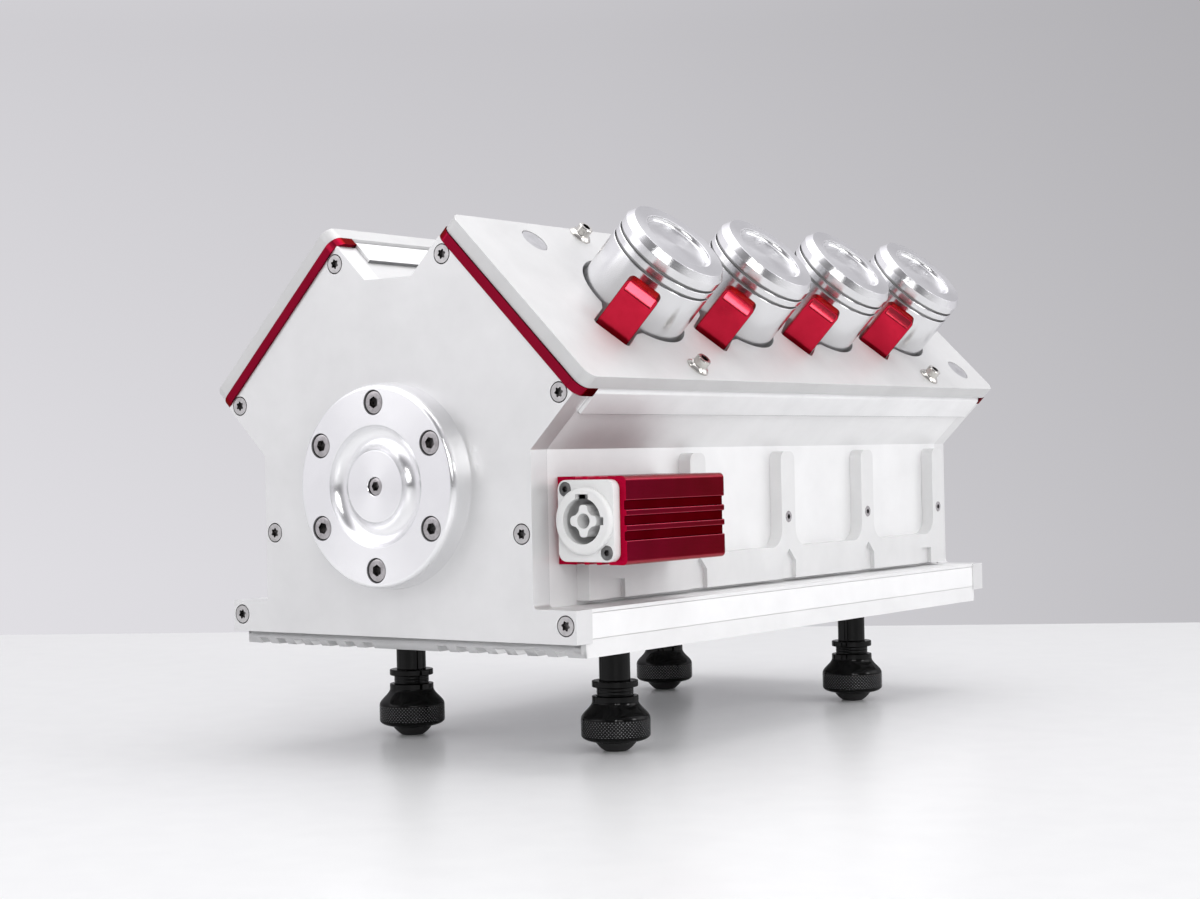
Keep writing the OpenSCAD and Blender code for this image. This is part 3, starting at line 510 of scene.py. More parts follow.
# ---- Edge bars ---------------------------------
# Thin brushed bars that cap the long edges of each bank. A lip hooks over the wall and slants in
# under the deck.

def add_mesh(target, source):
    """Adds one mesh to another, and frees it."""
    held = bpy.data.meshes.new("held")
    source.to_mesh(held)
    source.free()
    target.from_mesh(held)
    bpy.data.meshes.remove(held)


brushed = metal_finish("brushed_bar", grey(0.82, 0.005), grey(0.90, 0.005), (0.46, 0.56), grain=0.0003,
                       depth=0.000003, streak=(1, 0.01, 1), metallic=0.5)
bar_t, bar_h, hook, lip_in = 1.5, 9.3, 1.0, 0.4
bar_section = [(0, -bar_h), (bar_t, -bar_h), (bar_t, bar_t), (-lip_in, deck_gap - 0.05),
               (-lip_in, bar_t), (-hook, bar_t), (-hook, 0), (0, 0)]
trim_rear, trim_gap = 5.2, 0.7
bar_l = body_l - trim_rear - trim_gap - boss_end
for side, bank in banks:
    bars = bmesh.new()
    for upper in (False, True):
        bar = cut_plate([bar_section], -bar_l)
        move(bar, Matrix.Translation((0, boss_end, 0)) @ upright)
        if upper:
            move(bar, Matrix.Translation((-bank_w, 0, 0)) @ mirror)
            bmesh.ops.reverse_faces(bar, faces=bar.faces)
        round_edges(bar, sharp_edges(bar), 0.3, 2)
        add_mesh(bars, bar)
    # The bars' lower edge faces take the near-black finish, a painted contact shadow against the wall.
    set_finish(bars, lambda face: face.normal.z < -0.3)
    make_skin("edge_bars_" + side, bars, [brushed, painted_gap_shade], bank)


# ---- Red trim bars -----------------------------
# Dark red anodised strips of 4 mm aluminium with a fully rounded outer edge. Each is clamped
# between a deck and an end plate, and shows as a red line along the plate's slope.

def dark_red_finish(name, dark, light, roughness, edge, coat=0.0, streak=(1, 1, 1)):
    return metal_finish(name, dark, light, roughness, patch=0.02, depth=0.000004, streak=streak,
                        coat=coat, edge=edge)


box_red = dark_red_finish("dark_red_anodised", (0.13, 0.0003, 0.020), (0.17, 0.0005, 0.026), (0.16, 0.24),
                          (0.3, 0.02, 0.08), 0.06, (1, 0.1, 1))
trim_red = dark_red_finish("trim_red_anodised", (0.21, 0.002, 0.018), (0.26, 0.003, 0.022), (0.14, 0.2),
                           (0.4, 0.03, 0.08), 0.08)
trim_over, trim_r, trim_low = 0.9, 5.5, plate_t + 0.8
trim_end = bank_w + deck_over + 0.1
trim_side = deck_over + 0.1
for side, bank in banks:
    for end, outer, inner, step in (
        ("front", -trim_over, trim_low, 1),
        ("rear", body_l + trim_over, body_l - trim_rear, -1),
    ):
        corner = outer + step * trim_r
        line = arc(trim_r - trim_end, corner, trim_r, 180, 180 + 90 * step, 8)
        line += arc(trim_side - trim_r, corner, trim_r, 180 + 90 * step, 180 + 180 * step, 8)
        if abs(inner - outer) > trim_r + 0.1:
            line += [(trim_side, inner), (-trim_end, inner)]
        trim = cut_plate([line], deck_gap)
        bmesh.ops.remove_doubles(trim, verts=trim.verts, dist=0.001)
        flat = deck_gap / 2 - 0.01
        rim = sharp_edges(trim, lambda p: abs(p.z - deck_gap / 2) > flat and abs(p.y - inner) > 0.01)
        round_edges(trim, rim, 1.9, 6)
        # Faces towards the deck and the plate, and the flanks of the rounded edge next to them, take the
        # darker box red: painted shade that leaves a lighter line along the middle.
        set_finish(trim, lambda face: abs(face.normal.z) > 0.55)
        make_skin(f"trim_{end}_{side}", trim, [trim_red, box_red], bank)


# ---- Round cover on the front plate ------------
# Turned and polished: a flared rim, a flat ring with six counterbored bolts, a deep round trough
# and a boss with one bolt in the middle.

def turn(mesh, profile, steps=96):
    """Spins a line of (radius, height) points round Z."""
    points = [mesh.verts.new((r, 0, z)) for r, z in profile]
    line = [mesh.edges.new(pair) for pair in zip(points, points[1:])]
    bmesh.ops.spin(mesh, geom=points + line, cent=(0, 0, 0), axis=(0, 0, 1), angle=math.tau,
                   steps=steps, use_merge=True)


def follow_rings(mesh, edges, centre, rings, close=True):
    """Draws a round loop on through rings of (radius, height) round centre, and may close the last."""
    for r, z in rings:
        drawn = bmesh.ops.extrude_edge_only(mesh, edges=edges)
        for vert in only(bmesh.types.BMVert, drawn):
            out = Vector((vert.co.x - centre[0], vert.co.y - centre[1])).normalized() * r
            vert.co = (centre[0] + out.x, centre[1] + out.y, z)
        edges = only(bmesh.types.BMEdge, drawn)
    if close:
        bmesh.ops.contextual_create(mesh, geom=edges)
    return edges


def turned_finish(name, place, level, roughness):
    """Polished aluminium with fine turning rings round the Z axis of place."""
    material = metal_finish(name, grey(level, 0.01), grey(level + 0.05, 0.01), roughness, patch=0.02,
                            grain=0.0009, depth=0.000002)
    tree = material.node_tree
    shader = tree.nodes["Principled BSDF"]
    spot, turned_by, _ = place.decompose()
    point = tree.nodes.new("ShaderNodeTexCoord")
    centre = plain_node(tree, "ShaderNodeMapping", Location=spot, Rotation=turned_by.to_euler())
    centre.vector_type = "TEXTURE"
    rings = plain_node(tree, "ShaderNodeTexWave", Scale=628.0, Distortion=0.4, Detail=2.0)
    rings.wave_type = "RINGS"
    rings.rings_direction = "Z"
    bump = plain_node(tree, "ShaderNodeBump", Strength=0.6, Distance=0.000003)
    tree.links.new(shader.inputs["Normal"].links[0].from_socket, bump.inputs["Normal"])
    set_inputs(shader, Anisotropic=0.75, Anisotropic_Rotation=0.25)
    outward = math_node(tree, "SUBTRACT", point.outputs["Object"], spot, "ShaderNodeVectorMath")
    axis = turned_by @ Vector((0, 0, 1))
    along = math_node(tree, "CROSS_PRODUCT", axis, outward, "ShaderNodeVectorMath")
    tree.links.new(along, shader.inputs["Tangent"])
    wire(tree, (point, "Object", centre, "Vector"), (centre, "Vector", rings, "Vector"),
         (rings, "Fac", bump, "Height"), (bump, "Normal", shader, "Normal"))
    return material


hub_r, hub_h, hub_z, flare = 39.5, 10, 60, 1.5
bolt_ring, bolt_r, trough, centre_bolt_r = 33, 4.5, 24.5, 3.4
boss_r = 13.9
hub_place = stand @ Matrix.Translation((0, 0, hub_z)) @ upright
bolt_spots = arc(0, 0, bolt_ring, 30, 330, 5)

hub = bmesh.new()
foot_r = hub_r + flare
rim = [(0, 0), (foot_r, 0), (foot_r, 0.5), (foot_r - 0.3, 1.5), (foot_r - 0.5, 4)]
for k in range(11):
    a = math.radians(9 * k)
    rim.append((hub_r - 1 + 2 * math.cos(a), hub_h - 3.4 + 3.4 * math.sin(a)))
turn(hub, rim)
trough_line = arc((trough + boss_r - 0.1) / 2, hub_h + 0.6, (trough - boss_r - 0.5) / 2, 352.5, 187.5, 20)
turn(hub, [(trough, hub_h)] + trough_line + [(boss_r, hub_h)])
ring_loops = []
for r in (hub_r - 1, trough):
    ring_loops += draw_loop(hub, circle(0, 0, r, 96), hub_h)
holes = [draw_loop(hub, circle(x, y, bolt_r + 0.55, 32), hub_h) for x, y in bolt_spots]
ring_edges = ring_loops + [edge for hole in holes for edge in hole]
bmesh.ops.triangle_fill(hub, edges=ring_edges, use_beauty=True)
for hole, spot in zip(holes, bolt_spots):
    follow_rings(hub, hole, spot, [(bolt_r + 0.35, hub_h - 0.2), (bolt_r + 0.35, hub_h - 4)])
boss_loop = draw_loop(hub, circle(0, 0, boss_r, 96), hub_h)
follow_rings(hub, boss_loop, (0, 0), [(centre_bolt_r + 0.5, hub_h), (centre_bolt_r + 0.3, hub_h - 0.2),
                                      (centre_bolt_r + 0.3, hub_h - 3)])


def round_bolt(face):
    """Whether a face is the wall of a counterbore."""
    middle = face.calc_center_median().xy
    near = min((middle - Vector(spot)).length for spot in bolt_spots)
    return near < bolt_r + 0.6 and abs(face.normal.z) < 0.9


# The counterbore walls round the six bolts take the near-black finish, painted shade in the gap round each
# head.
set_finish(hub, round_bolt)
turned_hub = turned_finish("turned_cover", hub_place, 0.84, (0.20, 0.28))
make_skin("hub_cover", hub, [turned_hub, painted_gap_shade], hub_place)


# ---- Screws ------------------------------------
# Steel screws of three kinds: countersunk six-lobed ones in the plates, socket heads in the round
# cover and small countersunk ones in the combs and the inlet.

def steel_finish(name, dark, light, roughness, depth=0.00001):
    return metal_finish(name, dark, light, roughness, patch=0.002, grain=0.0003, depth=depth)


steel = steel_finish("screw_steel", (0.32, 0.305, 0.31), (0.50, 0.48, 0.49), (0.2, 0.38), 0.000015)
bright_steel = steel_finish("plate_screw_steel", (0.42, 0.41, 0.41), (0.56, 0.55, 0.55), (0.26, 0.36))
# A near-black, patchy steel for recesses and the rims under heads: painted shade, with patches of painted
# reflection.
recess_shade = metal_finish("painted_recess_shade", (0.01, 0.01, 0.01), (0.22, 0.21, 0.21), (0.25, 0.4), patch=0.0012)


def polar_shape(steps, reach):
    """Points all round the origin, where reach gives the radius at an angle."""
    turns = [math.tau * k / steps for k in range(steps)]
    return [(reach(a) * math.cos(a), reach(a) * math.sin(a)) for a in turns]


def lobed_shape(r):
    return polar_shape(48, lambda a: r * (1 + 0.17 * math.cos(6 * a)))


def hex_shape(r):
    half = math.radians(30)
    return polar_shape(48, lambda a: r * math.cos(half) / math.cos(a % (2 * half) - half))


def sink(mesh, edges, depth, floor=True):
    """Draws a loop straight down, and may close it there with a floor."""
    drawn = bmesh.ops.extrude_edge_only(mesh, edges=edges)
    bmesh.ops.translate(mesh, verts=only(bmesh.types.BMVert, drawn), vec=(0, 0, -depth))
    if floor:
        bmesh.ops.contextual_create(mesh, geom=only(bmesh.types.BMEdge, drawn))


def screw_head(mesh, place, r, rings, recess, depth):
    """A round head along rings of (radius, height) below its face at Z 0, with a recess."""
    head = bmesh.new()
    face = draw_loop(head, circle(0, 0, r, 48))
    hole = draw_loop(head, recess)
    bmesh.ops.bridge_loops(head, edges=face + hole)
    sink(head, hole, depth)
    follow_rings(head, face, (0, 0), rings)
    # The recess and the rim under the head take the second finish, painted shade.
    set_finish(head, lambda part: part.calc_center_median().z < -0.35)
    move(head, place)
    add_mesh(mesh, head)


def socket_bolt(mesh, place, r, head_h, recess, depth):
    """A bolt with a cylindrical head, a rounded rim and a 5 mm shank."""
    rings = [(r - 0.1, -0.2), (r, -0.6), (r, -head_h), (2.5, -head_h), (2.5, -17)]
    screw_head(mesh, place, r - 0.5, rings, recess, depth)


lobed_rings = [(3.7, -0.2), (2.0, -2.1), (2.0, -16)]
turned_back = Matrix.Rotation(math.radians(-90), 4, "X")
spin = 0.4
for node, y, face_on in (("front_screws", 0, upright), ("rear_screws", body_l, turned_back)):
    screws = bmesh.new()
    for x, z in plate_screws:
        spin += 0.9
        place = Matrix.Translation((x, y, z)) @ face_on @ Matrix.Rotation(spin, 4, "Z")
        place = place @ Matrix.Translation((0, 0, 0.06))
        screw_head(screws, place, 3.6, lobed_rings, lobed_shape(1.75), 1.5)
    make_skin(node, screws, [bright_steel, recess_shade], stand)

hub_bolts = bmesh.new()
for x, y in bolt_spots:
    spin += 0.7
    place = Matrix.Translation((x, y, hub_h - 0.35)) @ Matrix.Rotation(spin, 4, "Z")
    socket_bolt(hub_bolts, place, bolt_r, 3.6, hex_shape(2.4), 2.2)
make_skin("hub_screws", hub_bolts, [steel, recess_shade], hub_place)

middle_bolt = bmesh.new()
socket_bolt(middle_bolt, Matrix.Translation((0, 0, hub_h - 0.5)), centre_bolt_r, 2.5, hex_shape(2.0), 1.6)
make_skin("hub_centre_screw", middle_bolt, [steel, recess_shade], hub_place)

comb_bolts = bmesh.new()
comb_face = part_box("comb_right")[1][0] / MM
last_finger, finger_pitch, comb_bolt_h = 321, 72, 41.7
for side, fingers in ((1, 4), (-1, 5)):
    for k in range(fingers):
        spin += 0.5
        face_on = Matrix.Rotation(math.radians(90 * side), 4, "Y") @ Matrix.Rotation(spin, 4, "Z")
        spot = (side * (comb_face + 0.04), last_finger - k * finger_pitch, comb_bolt_h)
        comb_rings = [(2.55, -0.12), (1.5, -1.1), (1.5, -12)]
        screw_head(comb_bolts, Matrix.Translation(spot) @ face_on, 2.45, comb_rings, hex_shape(1.2), 1.2)
make_skin("comb_screws", comb_bolts, [steel, recess_shade], stand)


# ---- Deck discs --------------------------------
# Flat brushed steel discs, pressed into round pockets near one end of each deck's two edges. Their
# faces lie a little below the deck's.

disc_steel = metal_finish("disc_steel", (0.40, 0.40, 0.41), (0.52, 0.52, 0.53), (0.3, 0.42), patch=0.004,
                          grain=0.0004)
for side, bank in banks:
    discs = bmesh.new()
    for s, y in disc_places:
        drawn = bmesh.ops.create_cone(discs, cap_ends=True, segments=60, radius1=disc_r - 0.1,
                                      radius2=disc_r - 0.1, depth=1.2)["verts"]
        bmesh.ops.translate(discs, verts=drawn, vec=(-s, y, deck_top - 0.9))
    round_edges(discs, sharp_edges(discs, lambda p: p.z > deck_top - 0.4), 0.2, 2)
    nodes = ["deck_discs"] if side == "right" else []
    make_piece("deck_discs_" + side, discs, [disc_steel], bank, "block", nodes)


# ---- Deck studs --------------------------------
# Nickel-plated studs with a flared foot and a socket head, four on each deck. Two stand near each
# of its long edges.

nickel = metal_finish("nickel_plate", (0.50, 0.485, 0.46), (0.66, 0.645, 0.61), (0.12, 0.22), patch=0.002,
                      grain=0.0005, depth=0.000008)
stud_h = 5
stud_rings = [(3.2, -0.4), (3.2, -3.3), (4.2, -3.7), (5, -4.6), (5, -5), (2, -5), (2, -deck_top - 3)]
stud_places = [(bank_w - 2.8, 80), (6, 80), (6, body_l - 60), (bank_w - 2.8, body_l - 60)]


def in_recess(face):
    middle = face.calc_center_median()
    return min(math.hypot(middle.x + s, middle.y - y) for s, y in stud_places) < 1.95


for side, bank in banks:
    studs = bmesh.new()
    for s, y in stud_places:
        place = Matrix.Translation((-s, y, deck_top + stud_h))
        screw_head(studs, place, 2.8, stud_rings, hex_shape(1.9), 2)
    # Faces inside each stud's socket take the dark recess finish, painted shade.
    set_finish(studs, in_recess)
    make_skin("deck_studs_" + side, studs, [nickel, recess_shade], bank)


# ---- Pistons -----------------------------------
# Hollow caps turned from solid and polished, with two ring grooves, a bevelled crown and a flat
# round dish. They slide in the liners.

piston_l, piston_up = 54.5, 32
crown = deck_top + piston_up
skirt = crown - piston_l
dish_r, dish_d = 15.5, 2
inner_r = piston_r - 3


def groove(step):
    """A turned groove 1.3 mm deep, this far below the crown, from below."""
    z, floor = crown - step, piston_r - 1.3
    return [(piston_r, z - 0.8), (piston_r - 0.2, z - 0.6), (floor, z - 0.6), (floor, z + 0.6),
            (piston_r - 0.2, z + 0.6), (piston_r, z + 0.8)]


def piston_part(face):
    """1 for a face in a ring groove, 2 for one on the crown or in its dish, and 0 for the rest."""
    middle = face.calc_center_median()
    r = middle.xy.length
    if inner_r + 0.5 < r < piston_r - 0.25 and crown - 12 < middle.z < crown - 6:
        return 1
    return 2 * (middle.z > crown - dish_d - 0.2 and abs(face.normal.z) > 0.95 and r < piston_r - 2)


piston_line = (
    [(0, crown - 8), (inner_r, crown - 8), (inner_r, skirt), (piston_r - 0.3, skirt), (piston_r, skirt + 0.3)]
    + groove(11) + groove(7)
    + [(piston_r, crown - 3.1), (piston_r - 0.1, crown - 2.9), (piston_r - 1.9, crown - 0.1)]
    + [(piston_r - 2.1, crown), (dish_r + 0.3, crown)]
    + arc(dish_r - dish_d, crown - 0.1, dish_d, 0, -90, 8) + [(0, crown - dish_d - 0.1)]
)
# The ring grooves take a darker aluminium, painted shade in the grooves.
groove_shade = metal_finish("piston_groove", grey(0.30, 0), grey(0.38, 0), (0.3, 0.4))
cylinders = [(side[0] + str(k), y, bank @ Matrix.Translation((-bore_s, y, 0)))
             for side, bank in banks for k, y in enumerate(bores, 1)]
for tag, y, place in cylinders:
    piston = bmesh.new()
    turn(piston, piston_line)
    set_finish(piston, piston_part)
    ring_place = right_bank @ Matrix.Translation((-bore_s, y, 0))
    if tag[0] == "l":
        spot, turned_by, _ = ring_place.decompose()
        lean = Matrix.Rotation(-turned_by.to_euler().y, 4, "Y")
        ring_place = Matrix.Translation((-spot.x, spot.y, spot.z)) @ lean
    turned_piston = turned_finish("turned_piston_" + tag, ring_place, 0.70, (0.18, 0.26))
    # The crown and its dish take a darker copy of the turned finish, painted shade.
    shaded_crown = turned_finish("shaded_crown_" + tag, ring_place, 0.46, (0.27, 0.35))
    make_skin("piston_" + tag, piston, [turned_piston, groove_shade, shaded_crown], place,
              "piston_" + tag)


# ---- Pull tabs ---------------------------------
# Red anodised blocks with a finger lip, one beside each piston. An arm under the deck joins each
# to its piston's skirt.

def tab_finish(name, dark, light, roughness, edge, coat=0.1):
    return metal_finish(name, dark, light, roughness, patch=0.01, grain=0.0008, depth=0.000004,
                        coat=coat, edge=edge)


# Beside the red, the lip gets a paler, pinker copy with a stronger coat, a painted highlight, and the rounded
# edges a darker copy, painted shade.
red = tab_finish("red_anodised", (0.52, 0.010, 0.036), (0.66, 0.016, 0.050), (0.18, 0.26), (0.6, 0.05, 0.08))
red_lip_sheen = tab_finish("red_anodised_lip_sheen", (0.60, 0.030, 0.060), (0.72, 0.040, 0.075), (0.16, 0.22),
                     (0.7, 0.1, 0.15), 0.6)
red_edge = tab_finish("red_anodised_edge_shade", (0.20, 0.003, 0.014), (0.28, 0.005, 0.020), (0.2, 0.28),
                      (0.4, 0.03, 0.06))
tab_top, arm = deck_top + 21.5, skirt + 3.5
tab_face = tab_r + tab_t
lip_out, lip_h, lip_w = 2.3, 4.2, tab_w - 2.4
tab_line = [(tab_r, arm), (tab_face, arm), (tab_face, tab_top), (tab_r, tab_top)]
lip_line = [(tab_face + out, tab_top - down) for out, down in (
    (-2, 0.6), (0.2, 0.6), (1.1, 1.8), (2, 3.2), (lip_out, 3.9), (lip_out - 0.2, lip_h),
    (0.6, lip_h + 0.4), (-2, lip_h + 1.2))]


def stand_up(line, width):
    """A block as wide as this across Y, with a section drawn in X and Z."""
    mesh = cut_plate([line], -width)
    move(mesh, Matrix.Translation((0, -width / 2, 0)) @ upright)
    return mesh


for tag, _, bore_place in cylinders:
    tab = stand_up(tab_line, tab_w)
    corners = sharp_edges(tab, lambda p: p.z > tab_top - 0.1 and abs(abs(p.y) - tab_w / 2) < 0.01)
    round_edges(tab, corners, 2.2, 6)
    round_edges(tab, sharp_edges(tab, angle=50), 1.0, 5)
    # Rounded edges take the darker red, painted shade; so do the lip's ends and underside, a painted shadow,
    # while the rest of the lip takes the painted highlight.
    set_finish(tab, lambda face: max(abs(part) for part in face.normal) < 0.985)
    lip = stand_up(lip_line, lip_w)
    round_edges(lip, sharp_edges(lip, angle=60), 0.5, 3)
    set_finish(lip, lambda face: 1 if abs(face.normal.y) > 0.6 or face.normal.z < -0.3 else 2)
    add_mesh(tab, lip)
    link = bmesh.ops.create_cube(tab, size=1)["verts"]
    reach = tab_r - inner_r + 1
    bmesh.ops.scale(tab, verts=link, vec=(reach, 10, 6))
    bmesh.ops.translate(tab, verts=link, vec=(inner_r + reach / 2, 0, arm + 3.2))
    place = bore_place @ Matrix.Rotation(math.radians(tab_turn), 4, "Z")
    make_skin("tab_" + tag, tab, [red, red_edge, red_lip_sheen], place, "piston_" + tag)


# ---- Power box ---------------------------------
# A dark red anodised housing on the right wall. Three grooves run along its top, its outer side
# and its underside.

box_low, box_high = (Vector(corner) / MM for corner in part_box("power_box"))
wide, box_l, tall = box_high - box_low
edge_r, core_r = 2, 11.6
groove_w, groove_d, groove_pitch = 3.5, 1, 5.8


def grooved_side(length):
    """Points along one side of the box's section, as (along, in), with its three grooves."""
    points = []
    for k in (-1, 0, 1):
        a = length / 2 + k * groove_pitch - groove_w / 2
        b = a + groove_w
        points += [(a - 0.35, 0), (a - 0.1, 0.1), (a, 0.35), (a + 0.2, groove_d), (b - 0.2, groove_d)]
        points += [(b, 0.35), (b + 0.1, 0.1), (b + 0.35, 0)]
    return points


def box_part(face):
    """2 for a groove face (painted shade), 3 for the front (painted light), 1 for a rounded edge (painted
    highlight), else 0.
    """
    middle = face.calc_center_median()
    if min(middle.y, tall - middle.y, wide - middle.x) > groove_d - 0.2 and abs(face.normal.z) < 0.2:
        return 2
    if face.normal.z > 0.3:
        return 3
    return max(abs(part) for part in face.normal) < 0.94


box_line = [(0, 0)] + grooved_side(wide)
box_line += arc(wide - edge_r, edge_r, edge_r, 270, 360, 6)
box_line += [(wide - inset, z) for z, inset in grooved_side(tall)]
box_line += arc(wide - edge_r, tall - edge_r, edge_r, 0, 90, 6)
box_line += [(x, tall - inset) for x, inset in reversed(grooved_side(wide))] + [(0, tall)]
core_hole = circle(wide / 2, tall / 2, core_r, 60)
box = cut_plate([box_line, core_hole], -box_l)
bmesh.ops.triangle_fill(box, edges=draw_loop(box, core_hole, -box_l))
centre = Vector((wide / 2, tall / 2))


def on_box_end(p):
    return abs(p.z + box_l / 2) > box_l / 2 - 0.01 and (p.xy - centre).length > core_r + 0.1


round_edges(box, sharp_edges(box, on_box_end), 1.1, 4)
set_finish(box, box_part)
# Copies of the dark red that paint light: a paler one with a stronger coat on the rounded edges is a painted
# highlight, a darker one in the grooves is painted shade, and a brighter one on the front is painted light.
box_edge_sheen = dark_red_finish("dark_red_edge_sheen", (0.24, 0.002, 0.026), (0.32, 0.003, 0.034), (0.18, 0.24),
                           (0.8, 0.3, 0.35), 0.5)
box_groove_shade = dark_red_finish("dark_red_groove_shade", (0.085, 0.0002, 0.012), (0.115, 0.0003, 0.016), (0.2, 0.28),
                             (0.2, 0.01, 0.04))
box_front_lit = dark_red_finish("dark_red_front_lit", (0.36, 0.0005, 0.024), (0.46, 0.0008, 0.032), (0.16, 0.24),
                            (0.5, 0.03, 0.08), 0.06)
box_place = Matrix.Scale(MM, 4) @ Matrix.Translation(box_low) @ upright
make_skin("power_box", box, [box_red, box_edge_sheen, box_groove_shade, box_front_lit], box_place)


# ---- Power inlet -------------------------------
# A white moulded panel inlet: a flange with a raised round collar and two screws, and a keyed
# socket with a lobed, hollow spigot in its middle.

def moulded_plastic(name, colour, roughness):
    darker = [c * 0.93 for c in colour]
    return clouded(
        name, {"Scale": 180.0, "Detail": 3.0}, ((0, darker), (1, colour)), {"Scale": 2500.0, "Detail": 2.0},
        (roughness - 0.05, roughness + 0.07), (0.35, 0.00002))


white_plastic = moulded_plastic("white_plastic", (0.82, 0.82, 0.82), 0.35)
flange_x, flange_y, flange_t, flange_r = 13, 15.5, 4, 3.5
collar_h, collar_r, collar_edge = 2.5, 12.8, 1.2
socket_r, socket_d, core_l = 8.8, 14, 28
inlet_screws = ((-9.5, 12), (9.5, -12))
inlet_spot = ((box_low.x + box_high.x) / 2, box_low.y, (box_low.z + box_high.z) / 2)
inlet_place = Matrix.Scale(MM, 4) @ Matrix.Translation(inlet_spot) @ upright


def socket_shape():
    """Round mouth with a wide key slot above and a narrow one towards the outside."""
    key, key_r, side_key, side_r = 3, 10.1, 1.5, 10.0
    a, b = (math.degrees(math.asin(half / socket_r)) for half in (side_key, key))
    return (
        [(side_r, -side_key), (side_r, side_key)] + arc(0, 0, socket_r, a, 90 - b, 8)
        + [(key, key_r), (-key, key_r)] + arc(0, 0, socket_r, 90 + b, 360 - a, 36)
    )


def on_flange_rim(p):
    past_side = abs(p.x) > flange_x - 0.3 or abs(p.y) > flange_y - 0.3
    return p.z > flange_t - 0.01 and (past_side or abs(p.x) + abs(p.y) > 25.5)


flange_lines = [rounded_rectangle(-flange_x, flange_x, -flange_y, flange_y, flange_r), socket_shape()]
flange = cut_plate(flange_lines + [circle(x, y, 2.85, 48) for x, y in inlet_screws], flange_t)
round_edges(flange, sharp_edges(flange, on_flange_rim), 0.7, 3)
collar = draw_loop(flange, circle(0, 0, collar_r, 64), flange_t - 0.5)
shoulder = collar_h - collar_edge
collar_rings = [(collar_r, flange_t + shoulder)]
collar_rings += [(r, flange_t + z) for r, z in arc(collar_r - collar_edge, shoulder, collar_edge, 15, 90, 5)]
collar = follow_rings(flange, collar, (0, 0), collar_rings, close=False)
mouth = draw_loop(flange, socket_shape(), flange_t + collar_h)
bmesh.ops.triangle_fill(flange, edges=collar + mouth, use_beauty=True)
sink(flange, mouth, flange_t + collar_h, floor=False)
make_skin("inlet_flange", flange, [white_plastic], inlet_place)

core = bmesh.new()
core_out = core_r - 0.1
turn(core, [(0, -core_l), (core_out, -core_l), (core_out, 0), (socket_r + 0.4, 0),
            (socket_r, -socket_d), (0, -socket_d)], 64)
spigot_top, spigot_bore, bore_d = flange_t + collar_h - 1, 2.9, 12
lobes = draw_loop(core, polar_shape(64, lambda a: 5.1 + 1.1 * math.tanh(1.8 * math.cos(4 * a))), spigot_top)
bore = draw_loop(core, circle(0, 0, spigot_bore, 64), spigot_top)
bmesh.ops.bridge_loops(core, edges=lobes + bore)
sink(core, lobes, spigot_top + socket_d, floor=False)
sink(core, bore, bore_d)
make_skin("inlet_core", core, [white_plastic], inlet_place)

dark_steel = steel_finish("inlet_screw_steel", (0.11, 0.11, 0.11), (0.2, 0.2, 0.2), (0.3, 0.4))
inlet_bolts = bmesh.new()
for x, y in inlet_screws:
    place = Matrix.Translation((x, y, flange_t + 0.05))
    screw_head(inlet_bolts, place, 2.6, [(2.75, -0.15), (1.5, -1.3), (1.5, -9)], hex_shape(1.3), 1.2)
make_skin("inlet_screws", inlet_bolts, [dark_steel, recess_shade], inlet_place)


# ---- Inside ------------------------------------
# The power supply and the lead from the inlet to it lie out of sight in the body. They keep their
# own shapes.

refinish("power_supply", metal_finish("supply_case", (0.30, 0.30, 0.31), (0.36, 0.36, 0.37), (0.4, 0.5)))
refinish("inner_lead", moulded_plastic("lead_sleeve", (0.02, 0.02, 0.02), 0.5))


# ---- Feet --------------------------------------
# Black anodised stems with a lock ring and a fine thread. A flared adjuster with a diamond
# knurl turns on each and carries a rubber pad.

black = metal_finish("black_anodised", (0.002, 0.002, 0.002), (0.004, 0.004, 0.004), (0.14, 0.22),
                     patch=0.01, grain=0.0008, depth=0.000003, coat=0.3, edge=(0.05, 0.05, 0.05))
rubber = moulded_plastic("black_rubber", (0.012, 0.012, 0.012), 0.6)
foot_h = plate_low[2] / MM
foot_places = {"fl": (-55, 72), "rl": (-55, 268), "fr": (55, 72), "rr": (55, 268)}
stem_r, stem_low, shank_r, shank_top, seat = 6.4, -34, 5, 6.5, -5.5
thread_r, thread_low, thread_pitch = 7.6, -33.5, 1.4
ring_r, ring_bore, ring_edge, ring_low, ring_top = 9.5, 6.45, 0.4, -23.9, -21.3
bell_r, bell_top, band_top, band_low, bell_low = 14.25, -27.5, -36.6, -43.4, -46
neck_r, neck_low, neck_h = 9.55, -29.6, 7.3
hollow_top, fit = -38, 0.08
pad_stud, pad_top, foot_tip_r, under_r = 3, -46.1, 4.7, 8.5


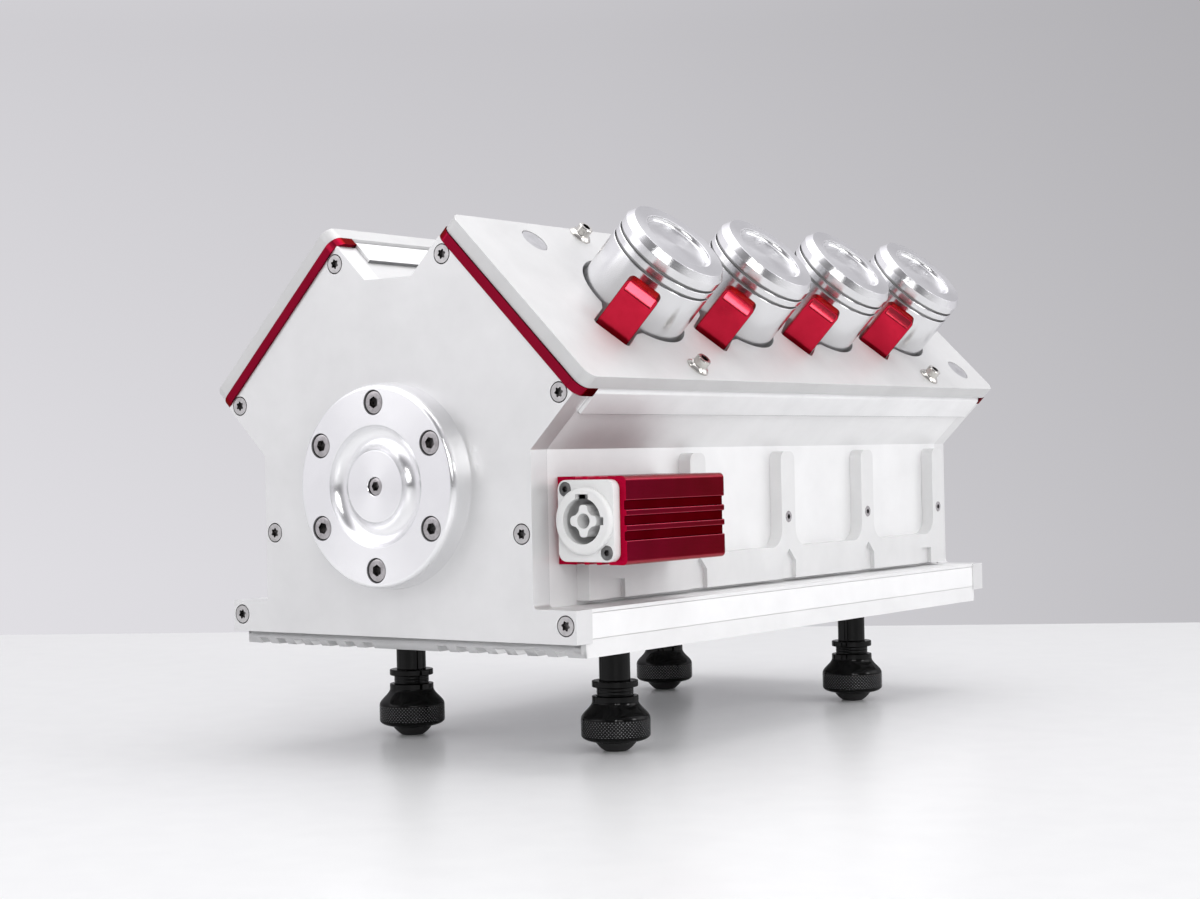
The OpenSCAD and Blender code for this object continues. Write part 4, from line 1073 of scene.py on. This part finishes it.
def knurled(name, spot):
    """The same black with a diamond knurl round a vertical axis through spot."""
    material = metal_finish(name, (0.02, 0.02, 0.021), (0.035, 0.035, 0.036), (0.16, 0.24), patch=0.01,
                            depth=0.000003, coat=0.3, edge=(0.1, 0.1, 0.1))
    tree = material.node_tree
    shader = tree.nodes["Principled BSDF"]
    grain_normal = shader.inputs["Normal"].links[0].from_socket
    point = tree.nodes.new("ShaderNodeTexCoord")
    centre = plain_node(tree, "ShaderNodeMapping", Location=(-spot.x, -spot.y, 0))
    parts = tree.nodes.new("ShaderNodeSeparateXYZ")
    wire(tree, (point, "Object", centre, "Vector"), (centre, "Vector", parts, "Vector"))
    angle = math_node(tree, "ARCTAN2", parts.outputs["Y"], parts.outputs["X"])
    around = math_node(tree, "MULTIPLY", angle, 30)
    along = math_node(tree, "MULTIPLY", parts.outputs["Z"], 2100)
    waves = [math_node(tree, "ABSOLUTE", math_node(tree, "SINE", math_node(tree, kind, around, along)))
             for kind in ("ADD", "SUBTRACT")]
    height = math_node(tree, "MINIMUM", *waves)
    # The peaks are painted paler than the valleys, a painted highlight standing in for glints on the knurl.
    painted_peak_glint = ramp_node(tree, (0.55, (0.004, 0.004, 0.004)), (0.95, (0.17, 0.17, 0.175)))
    bump = plain_node(tree, "ShaderNodeBump", Strength=1.0, Distance=0.0006)
    tree.links.new(height, painted_peak_glint.inputs["Fac"])
    tree.links.new(height, bump.inputs["Height"])
    tree.links.new(grain_normal, bump.inputs["Normal"])
    wire(tree, (painted_peak_glint, "Color", shader, "Base Color"), (bump, "Normal", shader, "Normal"))
    return material


stem_line = [(0, stem_low), (thread_r - 0.3, stem_low)]
for k in range(7):
    z = thread_low + k * thread_pitch
    stem_line += [(thread_r - 0.08, z), (thread_r, z + 0.45), (thread_r, z + 0.75)]
    stem_line.append((thread_r - 0.08, z + 1.2))
stem_line += [(thread_r - 0.3, ring_low), (stem_r, ring_low), (stem_r, seat), (shank_r, seat),
              (shank_r, shank_top), (0, shank_top)]
ring_line = (
    [(ring_bore, ring_low), (ring_r - ring_edge, ring_low)]
    + arc(ring_r - ring_edge, ring_low + ring_edge, ring_edge, -90, 0, 3)
    + arc(ring_r - ring_edge, ring_top - ring_edge, ring_edge, 0, 90, 3)
    + [(ring_bore, ring_top), (ring_bore, ring_low)]
)
for node, line, steps in (("foot_stems", stem_line, 48), ("lock_rings", ring_line, 64)):
    group = bmesh.new()
    for x, y in foot_places.values():
        one = bmesh.new()
        turn(one, line, steps)
        move(one, Matrix.Translation((x, y, 0)))
        add_mesh(group, one)
    make_skin(node, group, [black], stand)

neck = []
for k in range(1, 14):
    flared = (1 - math.cos(math.pi * k / 14)) / 2
    neck.append((neck_r + (bell_r - neck_r) * flared, neck_low - neck_h * k / 14))
belly = []
for k in range(1, 6):
    a = math.radians(15 * k)
    out = (bell_r - under_r) * math.cos(a)
    belly.append((under_r + out, band_low + (bell_low - band_low) * math.sin(a)))
bell_line = (
    [(0, hollow_top), (thread_r + fit, hollow_top), (thread_r + fit, bell_top - 0.2)]
    + [(thread_r + 0.3, bell_top), (neck_r - 0.25, bell_top), (neck_r, bell_top - 0.2), (neck_r, neck_low)]
    + neck + [(bell_r, band_top - 0.3), (bell_r, band_low)] + belly
    + [(under_r, bell_low), (pad_stud + fit, bell_low), (pad_stud + fit, -40.7), (0, -40.7)]
)
pad_line = [(0, -foot_h), (foot_tip_r - 0.2, -foot_h), (foot_tip_r, 0.1 - foot_h)]
for t in (0.2, 0.4, 0.6, 0.8, 0.95):
    pad_line.append((foot_tip_r + 4 * t, 0.1 - foot_h + 3.8 * (0.55 * t + 0.45 * t * t)))
pad_line += [(8.6, pad_top), (pad_stud, pad_top), (pad_stud, -41), (0, -41)]
for tag, (x, y) in foot_places.items():
    place = stand @ Matrix.Translation((x, y, 0))
    bell = bmesh.new()
    turn(bell, bell_line)
    set_finish(bell, lambda face: band_low < face.calc_center_median().z < band_top - 0.1)
    knurl = knurled("knurl_" + tag, stand @ Vector((x, y, 0)))
    make_skin("foot_bell_" + tag, bell, [black, knurl], place, "foot_bell_" + tag)
    pad = bmesh.new()
    turn(pad, pad_line, 64)
    make_skin("foot_pad_" + tag, pad, [rubber], place, "foot_pad_" + tag)
